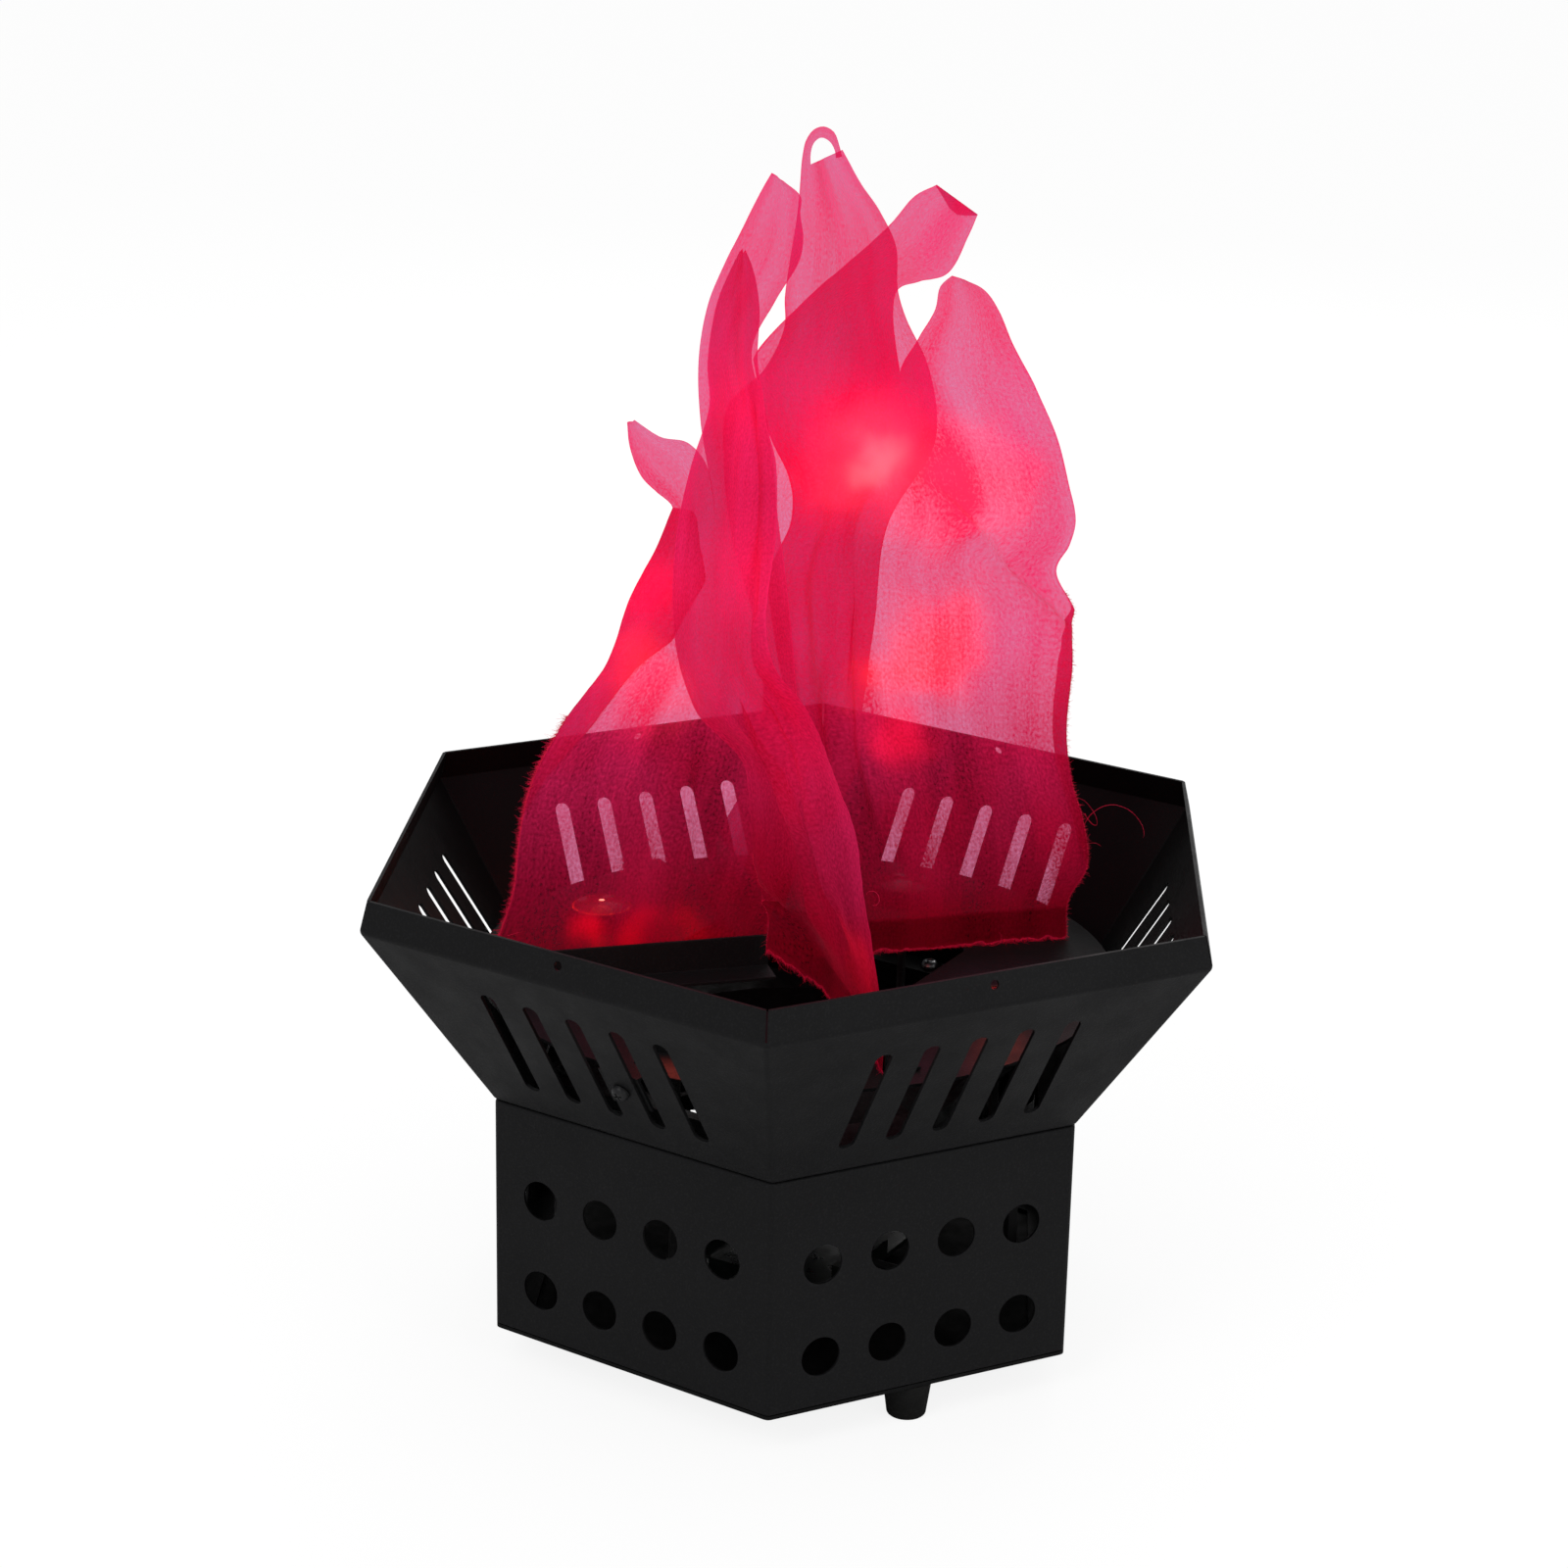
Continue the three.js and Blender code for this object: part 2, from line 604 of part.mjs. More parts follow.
// Rows of points between the two edge curves, with folds that lean across the cloth
function clothRows(edges, folds, fromColumn, toColumn) {
  const left = new THREE.CatmullRomCurve3(edges.map((row) => row[0]));
  const right = new THREE.CatmullRomCurve3(edges.map((row) => row[1]));
  const count = Math.round((edges.length - 1) * rowsPerStep);
  const rows = [];
  for (let row = 0; row <= count; row += 1) {
    const start = left.getPoint(row / count);
    const chord = right.getPoint(row / count).sub(start);
    const across = new THREE.Vector3(-chord.y, chord.x, 0).normalize();
    const points = [];
    for (let column = fromColumn; column <= toColumn; column += 1) {
      const share = (column - fromColumn) / (toColumn - fromColumn);
      const point = start.clone().addScaledVector(chord, share);
      const upShare = (point.z - barTop) / flameHeight;
      const grown = THREE.MathUtils.smoothstep(upShare, 0, foldStartShare);
      const wave = Math.sin(2 * Math.PI * (folds.count * share + folds.drift * upShare));
      points.push(point.addScaledVector(across, foldDepth * grown * wave * Math.sin(Math.PI * share)));
    }
    rows.push(points);
  }
  return rows;
}

// A cloth from its lower rows and the tongues that it divides into, thickened both ways
function clothSolid(hem, baseEdges, baseFolds, tongues) {
  const points = [];
  const faces = [];
  const addRow = (row) => row.map((point) => points.push(point) - 1);
  const lace = (lower, upper) => {
    for (let at = 0; at + 1 < lower.length; at += 1) {
      faces.push([lower[at], lower[at + 1], upper[at + 1]], [lower[at], upper[at + 1], upper[at]]);
    }
  };
  const grow = (first, rows) => {
    let lower = first;
    for (const row of rows) {
      const upper = addRow(row);
      lace(lower, upper);
      lower = upper;
    }
    return lower;
  };
  const straight = clothRows(hem, baseFolds, 0, columns);
  const baseRows = clothRows([hem[1], ...baseEdges], baseFolds, 0, columns);
  const top = grow(addRow(straight[0]), baseRows);
  for (const tongue of tongues) {
    const start = top.slice(tongue.from, tongue.to + 1);
    const ends = [points[start[0]], points[start[start.length - 1]]];
    const rows = clothRows([ends, ...shareRows(tongue.shares)], tongue.folds, tongue.from, tongue.to);
    grow(start, rows.slice(1));
  }
  return thickened(points, faces);
}

function thickened(points, faces) {
  const normals = points.map(() => new THREE.Vector3());
  const used = new Map();
  for (const face of faces) {
    const [a, b, c] = face.map((at) => points[at]);
    const normal = b.clone().sub(a).cross(c.clone().sub(a));
    face.forEach((at, corner) => {
      normals[at].add(normal);
      used.set(at + "," + face[(corner + 1) % 3], true);
    });
  }
  const half = silkThickness / 2;
  const offset = (sign) =>
    points.map((point, at) => point.clone().addScaledVector(normals[at].clone().normalize(), sign * half));
  const count = points.length;
  const index = [];
  for (const [a, b, c] of faces) {
    index.push(a, b, c, a + count, c + count, b + count);
    for (const [from, to] of [[a, b], [b, c], [c, a]]) {
      if (used.has(to + "," + from)) continue;
      index.push(from, to + count, to, from, from + count, to + count);
    }
  }
  const geometry = new THREE.BufferGeometry().setFromPoints([...offset(1), ...offset(-1)]);
  geometry.setIndex(index);
  return geometry;
}

// Fan frame: two square flanges, a round duct, corner posts and a motor seat on four struts

const flangeThickness = 4;
const ductWall = 2.4;
const ductFacets = 32;
const postRadius = 4.4;
const postFacets = 8;
const fanHoleRadius = 2.2;
const motorRadius = 21;
const motorSeat = 4;
const strutWidth = 6;
const strutHeight = 3;
const shaftRadius = 1.5;
const hubFacets = 20;

function roundedSquare(side, round, steps) {
  const points = [];
  const inner = side / 2 - round;
  for (let corner = 0; corner < 4; corner += 1) {
    const start = (corner * Math.PI) / 2;
    const middle = start + Math.PI / 4;
    const centreX = Math.SQRT2 * inner * Math.cos(middle);
    const centreY = Math.SQRT2 * inner * Math.sin(middle);
    for (let step = 0; step <= steps; step += 1) {
      const turn = start + ((Math.PI / 2) * step) / steps;
      points.push(new THREE.Vector2(centreX + round * Math.cos(turn), centreY + round * Math.sin(turn)));
    }
  }
  return points;
}

function fourCorners(spacing) {
  const half = spacing / 2;
  return [
    [half, half],
    [-half, half],
    [-half, -half],
    [half, -half],
  ];
}

function fanFrame() {
  const bore = circlePoints(fanBore / 2, ductFacets);
  const outline = roundedSquare(fanSide, fanCornerRound, cornerSteps);
  const pieces = [
    flatPlate(outline, [bore], fanBottom, fanBottom + flangeThickness),
    flatPlate(outline, [bore], fanTop - flangeThickness, fanTop),
    flatPlate(circlePoints(fanBore / 2 + ductWall, ductFacets), [bore], fanBottom, fanTop),
    rod(motorRadius, fanBottom, fanBottom + motorSeat, hubFacets),
  ];
  for (const [x, y] of fourCorners(fanHoleSpacing)) {
    pieces.push(rod(postRadius, fanBottom, fanTop, postFacets).translate(x, y, 0));
  }
  for (let quarter = 0; quarter < 4; quarter += 1) {
    const low = [motorRadius - strutWidth, -strutWidth / 2, fanBottom];
    const high = [fanBore / 2 + ductWall / 2, strutWidth / 2, fanBottom + strutHeight];
    pieces.push(block(low, high).rotateZ((quarter * Math.PI) / 2));
  }
  const tools = fourCorners(fanHoleSpacing).map(([x, y]) =>
    rod(fanHoleRadius, fanBottom - overrun, fanTop + overrun, postFacets).translate(x, y, 0),
  );
  tools.push(rod(shaftRadius + seat, fanBottom - overrun, fanTop, postFacets));
  return cut(join(pieces), tools);
}

// Fan rotor: a hub cup on a short shaft, with seven twisted blades trimmed to the duct

const bladeCount = 7;
const bladeChord = 26;
const bladeThickness = 1.6;
const bladeSteps = 2;
const rootPitch = 48;
const tipPitch = 24;
const tipClearance = 1;
const hubTopInset = 1;
const hubRoundShare = 0.9;

function fanBlade() {
  const start = motorRadius - bladeThickness;
  const length = fanBore / 2 - start;
  const blade = new THREE.BoxGeometry(length, bladeChord, bladeThickness, bladeSteps, 2, 1);
  const place = blade.attributes.position;
  const middle = (fanBottom + motorSeat + fanTop) / 2;
  for (let at = 0; at < place.count; at += 1) {
    const share = place.getX(at) / length + 1 / 2;
    const pitch = THREE.MathUtils.lerp(rootPitch, tipPitch, share) * degree;
    const across = place.getY(at);
    const off = place.getZ(at);
    const x = start + share * length;
    const y = across * Math.cos(pitch) - off * Math.sin(pitch);
    place.setXYZ(at, x, y, middle + across * Math.sin(pitch) + off * Math.cos(pitch));
  }
  return blade;
}

function fanRotor() {
  const hubBottom = fanBottom + motorSeat + seat;
  const hubTop = fanTop - hubTopInset;
  const crown = motorRadius * hubRoundShare;
  const pieces = [
    turned(
      [
        [0, hubBottom],
        [motorRadius, hubBottom],
        [motorRadius, hubTop - (motorRadius - crown)],
        [crown, hubTop],
        [0, hubTop],
      ],
      hubFacets,
    ),
    rod(shaftRadius, fanBottom, hubBottom + sheet, postFacets),
  ];
  for (let blade = 0; blade < bladeCount; blade += 1) {
    pieces.push(fanBlade().rotateZ((2 * Math.PI * blade) / bladeCount));
  }
  const sweep = rod(fanBore / 2 - tipClearance, fanBottom, fanTop - hubTopInset, ductFacets);
  return geometryOf(solid(join(pieces)).intersect(solid(sweep)));
}

// Hexagonal standoff with a spigot in the bottom plate and a bore for the fan's screw

const standoffRadius = 3.5;
const spigotRadius = 2;
const standoffBoreDepth = 9;

function fanStandoff() {
  const bottom = plateTop + seat;
  const top = bottom + standoffHeight;
  const pillar = join([
    rod(standoffRadius, bottom, top, sides),
    rod(spigotRadius, footHeight, bottom + sheet, smallHoleFacets),
  ]);
  return cut(pillar, [rod(shankHole, top - standoffBoreDepth, top + overrun, smallHoleFacets)]);
}

// Lens light: a round board under the deck, a holder on it and a clear lens in the holder.
// Heights are from the deck's top.

const lensDome = 1.6;
const lensHeight = 3.4;
const holderRise = 4.2; // the holder's rim above the deck
const ledgeWidth = 1.4;
const lightBoardRadius = 13.5;
const lightBoardThickness = 1.6;
const emitterRadius = 2.6;
const emitterHeight = 2.2;
const lensFacets = 16;
const domeShares = [0.62, 0.75];

function lightBoard() {
  const top = deckUnderside - seat;
  const bottom = top - lightBoardThickness;
  return turned(
    [
      [0, bottom],
      [lightBoardRadius, bottom],
      [lightBoardRadius, top],
      [emitterRadius, top],
      [emitterRadius * domeShares[1], top + emitterHeight * domeShares[0]],
      [0, top + emitterHeight],
    ],
    lensFacets,
  );
}

function lensHolder() {
  const bottom = deckUnderside;
  const outside = lensRadius + seat + holderWall;
  const inside = lensRadius + seat;
  const ledge = inside - ledgeWidth;
  const rim = deckTop + holderRise;
  const ledgeTop = rim - lensHeight;
  return turned(
    [
      [ledge, bottom],
      [outside, bottom],
      [outside, rim],
      [inside, rim],
      [inside, ledgeTop],
      [ledge, ledgeTop],
    ],
    lensFacets,
  );
}

function lens() {
  const bottom = deckTop + holderRise - lensHeight + seat;
  const rim = deckTop + holderRise;
  return turned(
    [
      [0, bottom],
      [lensRadius, bottom],
      [lensRadius, rim],
      [lensRadius * domeShares[0], rim + lensDome * domeShares[1]],
      [0, rim + lensDome],
    ],
    lensFacets,
  );
}

// Driver board under the fan, on four feet, with a socket on each side for the leads

const driverSide = 58;
const driverThickness = 1.6;
const driverFootHeight = 4;
const driverFootRadius = 3;
const socketDepth = 6;
const socketWidth = 26;
const socketHeight = 5;
const coilSide = 12;
const coilHeight = 6;
const driverFootInset = 6;

function driverBoard() {
  const bottom = plateTop + seat;
  const underside = bottom + driverFootHeight;
  const top = underside + driverThickness;
  const half = driverSide / 2;
  const pieces = [
    block([-half, -half, underside], [half, half, top]),
    block([-coilSide, -coilSide / 2, underside], [0, coilSide / 2, top + coilHeight]),
    rod(coilSide / 3, underside, top + coilHeight, postFacets).translate(coilSide / 2, 0, 0),
  ];
  for (const [x, y] of fourCorners(driverSide - 2 * driverFootInset)) {
    pieces.push(rod(driverFootRadius, bottom, underside + driverThickness / 2, postFacets).translate(x, y, 0));
  }
  for (let quarter = 0; quarter < 4; quarter += 1) {
    const low = [half - socketDepth, -socketWidth / 2, underside];
    const socket = block(low, [half, socketWidth / 2, top + socketHeight]);
    pieces.push(socket.rotateZ((quarter * Math.PI) / 2));
  }
  return join(pieces);
}

// Low-voltage inlet in the back right panel, in the panel's own frame

const jackFlangeRadius = 7;
const jackFlange = 2;
const jackBushRadius = 5.2;
const jackDepth = 13; // how far it reaches inside the wall's outer face
const jackBore = 3.2;
const jackBoreDepth = 9;
const jackPin = 1;
const jackPinInset = 1;
const jackFacets = 16;
const nutRadius = 7.6;
const nutThickness = 2.5;

function dcJack() {
  const front = seat + jackFlange;
  const floor = front - jackBoreDepth;
  const body = turned(
    [
      [0, -jackDepth],
      [jackBushRadius, -jackDepth],
      [jackBushRadius, seat],
      [jackFlangeRadius, seat],
      [jackFlangeRadius, front],
      [jackBore, front],
      [jackBore, floor],
      [0, floor],
    ],
    jackFacets,
  );
  return join([body, rod(jackPin, floor - sheet, front - jackPinInset, postFacets)]);
}

function jackNut() {
  const top = -sheet - seat;
  const nut = rod(nutRadius, top - nutThickness, top, sides);
  return cut(nut, [rod(jackHoleRadius, top - nutThickness - overrun, top + overrun, jackFacets)]);
}

// Leads: round tubes along their own routes

const leadRadius = 1.5;
const leadSides = 8;
const leadStep = 10;

function leadTube(route) {
  const curve = new THREE.CatmullRomCurve3(route.map((point) => new THREE.Vector3(...point)));
  const outline = new THREE.Shape(circlePoints(leadRadius, leadSides));
  const steps = Math.round(curve.getLength() / leadStep);
  return new THREE.ExtrudeGeometry(outline, { steps, extrudePath: curve, bevelEnabled: false });
}

const leadDrop = 71; // a lamp lead hangs here, clear of the fan's side
const leadLevel = plateTop + seat + driverFootHeight + driverThickness + socketHeight / 2;
const leadBend = 5;
const socketFace = driverSide / 2 + seat;

function lampLead() {
  const top = deckUnderside - seat - lightBoardThickness - seat;
  return leadTube([
    [leadDrop, 0, top],
    [leadDrop, 0, top - leadBend],
    [leadDrop, 0, (top + leadLevel) / 2],
    [leadDrop, 0, leadLevel + 2 * leadBend],
    [leadDrop - leadBend / 2, 0, leadLevel + leadBend / 2],
    [leadDrop - 2 * leadBend, 0, leadLevel],
    [(leadDrop + socketFace) / 2, 0, leadLevel],
    [socketFace + leadBend, 0, leadLevel],
    [socketFace, 0, leadLevel],
  ]);
}

const fanLeadShift = 9; // beside the lamp lead on the same socket

function fanLead() {
  const side = fanSide / 2 + seat;
  const start = fanBottom + flangeThickness / 2;
  return leadTube([
    [side, fanLeadShift, start],
    [side + leadBend / 2, fanLeadShift, start],
    [side + leadBend, fanLeadShift, start - leadBend / 2],
    [side + leadBend, fanLeadShift, leadLevel + 2 * leadBend],
    [side + leadBend / 2, fanLeadShift, leadLevel + leadBend / 2],
    [side - leadBend, fanLeadShift, leadLevel],
    [(side + socketFace) / 2, fanLeadShift, leadLevel],
    [socketFace + leadBend, fanLeadShift, leadLevel],
    [socketFace, fanLeadShift, leadLevel],
  ]);
}

// The inlet's lead, in the frame of the fan's side: x out, y round
function jackLead() {
  const turn = panelAngle(jackPanel) - (crossAngle + 45) * degree;
  const reach = boxApothem - jackDepth - seat;
  const height = footHeight + jackHeight;
  const at = (radius) => [radius * Math.cos(turn), radius * Math.sin(turn)];
  const end = -fanLeadShift;
  return leadTube([
    [...at(reach), height],
    [...at(reach - leadBend), height],
    [...at(reach - 2 * leadBend + leadRadius), height - leadBend],
    [...at(reach - 2 * leadBend + leadRadius), (height + leadLevel) / 2],
    [...at(reach - 2 * leadBend), leadLevel + leadBend / 2],
    [reach - leadBend - 3 * leadBend, end, leadLevel],
    [socketFace + leadBend, end, leadLevel],
    [socketFace, end, leadLevel],
  ]);
}

// The assembly

const light = new THREE.Group();
light.name = "silk_flame_light";

function addPiece(parent, name, geometry, material) {
  const mesh = new THREE.Mesh(geometry, material);
  mesh.name = name;
  parent.add(mesh);
  return mesh;
}

function turnedGroup(angle) {
  const group = new THREE.Group();
  group.rotation.z = angle;
  light.add(group);
  return group;
}

addPiece(light, "base_shell", baseShell(), paint);
addPiece(light, "bottom_plate", bottomPlate(), paint);
addPiece(light, "bowl_shell", bowlShell(), paint);
addPiece(light, "deck_plate", deckPlate(), paint);

// Feet and the screws that hold them, the bottom plate and the box's lip together
const footGrip = 2; // shank standing past the lip
footPanels.forEach((panel, at) => {
  const group = turnedGroup(panelAngle(panel));
  addPiece(group, `rubber_foot_${at + 1}`, rubberFoot(), rubber).position.x = footRing;
  const length = plateTop + seat + sheet + footGrip - footBoreDepth + seat;
  const screw = addPiece(group, `foot_screw_${at + 1}`, screwGeometry(length, false), plating);
  screw.rotation.x = Math.PI;
  screw.position.set(footRing, 0, footBoreDepth - seat);
});

// Screws down through the two lips at the waist
const waistGrip = 6;
waistScrewPanels.forEach((panel, at) => {
  const group = turnedGroup(panelAngle(panel));
  const screw = addPiece(group, `waist_screw_${at + 1}`, screwGeometry(waistGrip, false), plating);
  screw.position.set(waistScrewRing, 0, waist + sheet + seat);
});

// Screws through the flared wall into the deck's tabs
const tabGrip = 7;
tabPanels.forEach((panel, at) => {
  const group = new THREE.Group();
  group.applyMatrix4(panelFrame(panelAngle(panel), flareLean, boxApothem, waist));
  light.add(group);
  const screw = addPiece(group, `bowl_screw_${at + 1}`, screwGeometry(tabGrip, true), blackPlating);
  screw.position.set(tabShift, tabScrewRise / Math.cos(flareLean), seat);
});

// Bars and their screws, in the order right, back, left, front
const barNames = ["right", "back", "left", "front"];
const barGrip = 5;
barNames.forEach((side, quarter) => {
  const group = turnedGroup((crossAngle + quarter * 90) * degree);
  addPiece(group, `silk_arm_${side}`, silkBar(), paint);
  const screw = addPiece(group, `arm_screw_${side}`, screwGeometry(barGrip, true), blackPlating);
  screw.position.set(barScrewRing, barOffset + sheet + barFoot / 2, deckTop + seat + sheet + seat);
});

// Silks
const leftTongues = [
  { from: 0, to: 5, shares: leftCurlShares, folds: { count: 1, drift: 2 } },
  { from: 5, to: columns, shares: leftTongueShares, folds: { count: 1, drift: 2 } },
];
const rightTongues = [
  { from: 0, to: 6, shares: rightRibbonShares, folds: { count: 1, drift: 1 } },
  { from: 6, to: columns, shares: rightTongueShares, folds: { count: 1, drift: 1 } },
];
function addSilk(side, hem, shares, folds, tongues) {
  addPiece(light, `silk_${side}`, clothSolid(hem, shareRows(shares), folds, tongues), silk);
}
addSilk("left", hemRows(2, true), leftBaseShares, { count: 2, drift: 1.5 }, leftTongues);
addSilk("right", hemRows(0, false), rightBaseShares, { count: 2, drift: 1 }, rightTongues);
addSilk("back", hemRows(1, true), backShares, { count: 1.5, drift: 2 }, []);
addSilk("front", hemRows(3, false), frontShares, { count: 1.5, drift: 2 }, []);

// Fan, on standoffs, with its sides square to the deck's opening
const fanGroup = turnedGroup((crossAngle + 45) * degree);
addPiece(fanGroup, "fan_frame", fanFrame(), moulding);
addPiece(fanGroup, "fan_rotor", fanRotor(), moulding);
const fanScrewReach = 8; // shank inside the standoff
fourCorners(fanHoleSpacing).forEach(([x, y], at) => {
  addPiece(fanGroup, `fan_standoff_${at + 1}`, fanStandoff(), plating).position.set(x, y, 0);
  const length = fanDepth + 2 * seat + fanScrewReach;
  const screw = addPiece(fanGroup, `fan_screw_${at + 1}`, screwGeometry(length, false), blackPlating);
  screw.position.set(x, y, fanTop + seat);
});

// Lens lights on the lines between the bars, and their leads
for (let quarter = 0; quarter < 4; quarter += 1) {
  const group = turnedGroup((crossAngle + 45 + quarter * 90) * degree);
  const number = quarter + 1;
  addPiece(group, `led_board_${number}`, lightBoard(), boardWhite).position.x = lensRing;
  addPiece(group, `led_holder_${number}`, lensHolder(), moulding).position.x = lensRing;
  addPiece(group, `led_lens_${number}`, lens(), lensClear).position.x = lensRing;
  addPiece(group, `led_lead_${number}`, lampLead(), leadBlack);
}

// Driver board, inlet and their leads
addPiece(fanGroup, "driver_board", driverBoard(), boardGreen);
addPiece(fanGroup, "fan_lead", fanLead(), leadBlack);
addPiece(fanGroup, "jack_lead", jackLead(), leadBlack);
const inlet = new THREE.Group();
inlet.applyMatrix4(panelFrame(panelAngle(jackPanel), 0, boxApothem, footHeight + jackHeight));
light.add(inlet);
addPiece(inlet, "dc_jack", dcJack(), moulding);
addPiece(inlet, "jack_nut", jackNut(), plating);

export default light;
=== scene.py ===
# %% [markdown]
# A silk flame light
#
# The light is a flared hexagonal basket of black steel on a perforated steel box. A fan in the box
# blows four pieces of thin magenta silk up from a cross of angle bars, and four small lens lights
# under them colour the cloth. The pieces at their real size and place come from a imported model.
# This file gives them their finish, and makes the sheet metal, the lamps and the silks finely.

# %% Load the frame
import math
import random

import bmesh
import bpy
import numpy as np
from mathutils import Matrix, Vector, noise


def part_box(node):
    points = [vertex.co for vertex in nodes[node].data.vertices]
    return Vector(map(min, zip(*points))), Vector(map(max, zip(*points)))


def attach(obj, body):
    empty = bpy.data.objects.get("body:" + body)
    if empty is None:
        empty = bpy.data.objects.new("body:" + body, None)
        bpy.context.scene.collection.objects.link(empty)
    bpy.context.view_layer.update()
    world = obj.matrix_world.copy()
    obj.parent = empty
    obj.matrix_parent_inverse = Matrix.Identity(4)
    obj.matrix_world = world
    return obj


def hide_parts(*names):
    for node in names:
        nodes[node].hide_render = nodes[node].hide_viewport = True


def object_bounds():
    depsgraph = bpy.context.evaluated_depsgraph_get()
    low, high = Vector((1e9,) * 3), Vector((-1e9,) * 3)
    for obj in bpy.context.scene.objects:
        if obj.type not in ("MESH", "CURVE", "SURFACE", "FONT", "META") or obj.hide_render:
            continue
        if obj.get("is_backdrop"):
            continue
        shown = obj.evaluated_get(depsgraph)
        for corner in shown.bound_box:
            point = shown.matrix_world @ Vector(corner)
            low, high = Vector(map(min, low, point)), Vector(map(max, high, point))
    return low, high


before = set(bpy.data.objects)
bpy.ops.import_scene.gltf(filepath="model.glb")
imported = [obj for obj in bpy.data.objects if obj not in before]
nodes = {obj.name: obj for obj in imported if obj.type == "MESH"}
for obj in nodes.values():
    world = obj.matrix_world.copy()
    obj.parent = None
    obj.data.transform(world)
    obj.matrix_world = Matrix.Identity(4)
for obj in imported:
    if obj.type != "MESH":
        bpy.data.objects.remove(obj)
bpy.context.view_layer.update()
MM = 0.001

# %% [markdown]
# The camera comes first, because every later choice is judged through it. A picture taken from a
# known place can be matched by a place, a point to look at, a small roll and a lens. A tracking
# quaternion turns the camera to the point, and a turn about its own axis adds the roll.

# %% Camera
CAMERA_PLACE = Vector((53.5, -1006.6, 517.2)) * MM
CAMERA_AIM = Vector((-4.9, -1.1, 177.4)) * MM
CAMERA_ROLL = math.radians(1.21)
CAMERA_LENS = 78.99

camera = bpy.data.objects.new("camera", bpy.data.cameras.new("camera"))
bpy.context.scene.collection.objects.link(camera)
camera.data.lens = CAMERA_LENS
camera.data.clip_start = 0.05
camera.location = CAMERA_PLACE
camera.rotation_mode = "QUATERNION"
aimed = (CAMERA_AIM - CAMERA_PLACE).to_track_quat("-Z", "Y")
camera.rotation_quaternion = aimed @ Matrix.Rotation(CAMERA_ROLL, 4, "Z").to_quaternion()
bpy.context.scene.camera = camera
print("camera to object:", round((CAMERA_PLACE - CAMERA_AIM).length / MM), "mm")

# %% [markdown]
# The light stands on a plain pale floor before a white ground. One way to get white is to turn the
# lamps up until the floor clips, but then the object is overlit too. Here the floor and the world
# show white to the camera, and light the object at a plain level. Part of the floor's white is a
# lit surface, so it keeps a soft shadow under the box.

# %% Node helpers
def feed(tree, socket, value):
    """Links a socket to the one that is given, or sets it to the plain value."""
    if isinstance(value, bpy.types.NodeSocket):
        tree.links.new(value, socket)
    else:
        socket.default_value = value


def new_material(name):
    """A material with an empty node tree and its output node."""
    material = bpy.data.materials.new(name)
    material.use_nodes = True
    tree = material.node_tree
    tree.nodes.clear()
    return material, tree, tree.nodes.new("ShaderNodeOutputMaterial")


def add_node(tree, kind, **values):
    """A node with its input sockets fed from values, by the socket's name."""
    node = tree.nodes.new(kind)
    for name, value in values.items():
        feed(tree, node.inputs[name.replace("_", " ")], value)
    return node


def math_node(tree, operation, first, second=0.0):
    """The result of a Math node on two values or sockets."""
    node = tree.nodes.new("ShaderNodeMath")
    node.operation = operation
    for socket, value in zip(node.inputs, (first, second)):
        feed(tree, socket, value)
    return node.outputs[0]


def times(tree, first, second):
    """The product of two values or sockets."""
    return math_node(tree, "MULTIPLY", first, second)


def add_up(tree, total, *others):
    """The sum of values or sockets, added in their order."""
    for other in others:
        total = math_node(tree, "ADD", total, other)
    return total


def vector_math(tree, operation, first, second=(0, 0, 0)):
    """A Vector Math node on sockets or plain triples."""
    node = tree.nodes.new("ShaderNodeVectorMath")
    node.operation = operation
    for socket, value in zip(node.inputs, (first, second)):
        feed(tree, socket, value)
    return node


def own_place(tree):
    """Where a point lies in its object's own space."""
    return tree.nodes.new("ShaderNodeTexCoord").outputs["Object"]


def flat_place(tree, centre=(0, 0)):
    """Where a point lies seen from above, counted from a centre."""
    moved = (-centre[0], -centre[1], 0)
    place = own_place(tree)
    return add_node(tree, "ShaderNodeMapping", Vector=place, Location=moved, Scale=(1, 1, 0)).outputs[0]


def mix_shaders(tree, share, first, second):
    """A shader between two shaders. The share may be a number or a socket."""
    node = tree.nodes.new("ShaderNodeMixShader")
    for socket, value in zip(node.inputs, (share, first, second)):
        feed(tree, socket, value)
    return node.outputs[0]


def stretch(tree, value, from_low, from_high, to_low, to_high):
    """A value mapped from one range to another, and held inside it."""
    node = tree.nodes.new("ShaderNodeMapRange")
    tree.links.new(value, node.inputs[0])
    for socket, number in zip(node.inputs[1:5], (from_low, from_high, to_low, to_high)):
        socket.default_value = number
    return node.outputs[0]


# %% World, floor and lamps
WORLD_LIGHT = 0.62
FLOOR_GLOW_SHARE = 0.8
FLOOR_GLOW = 1.08
FLOOR_SIZE = 30  # metres
FLOOR_PAINT = (0.9, 0.9, 0.9, 1)
WHITE = (1, 1, 1, 1)


def shows_background(tree):
    """1 for rays that should see the white ground: from the camera, also through clear pieces."""
    path = tree.nodes.new("ShaderNodeLightPath")
    seen = (path.outputs["Is Camera Ray"], path.outputs["Is Transmission Ray"])
    return math_node(tree, "MAXIMUM", *seen)


world = bpy.data.worlds.new("studio")
bpy.context.scene.world = world
world.use_nodes = True
world.node_tree.nodes.clear()
strength = stretch(world.node_tree, shows_background(world.node_tree), 0, 1, WORLD_LIGHT, 1)
ground = add_node(world.node_tree, "ShaderNodeBackground", Color=WHITE, Strength=strength)
world_output = world.node_tree.nodes.new("ShaderNodeOutputWorld")
world.node_tree.links.new(ground.outputs[0], world_output.inputs["Surface"])

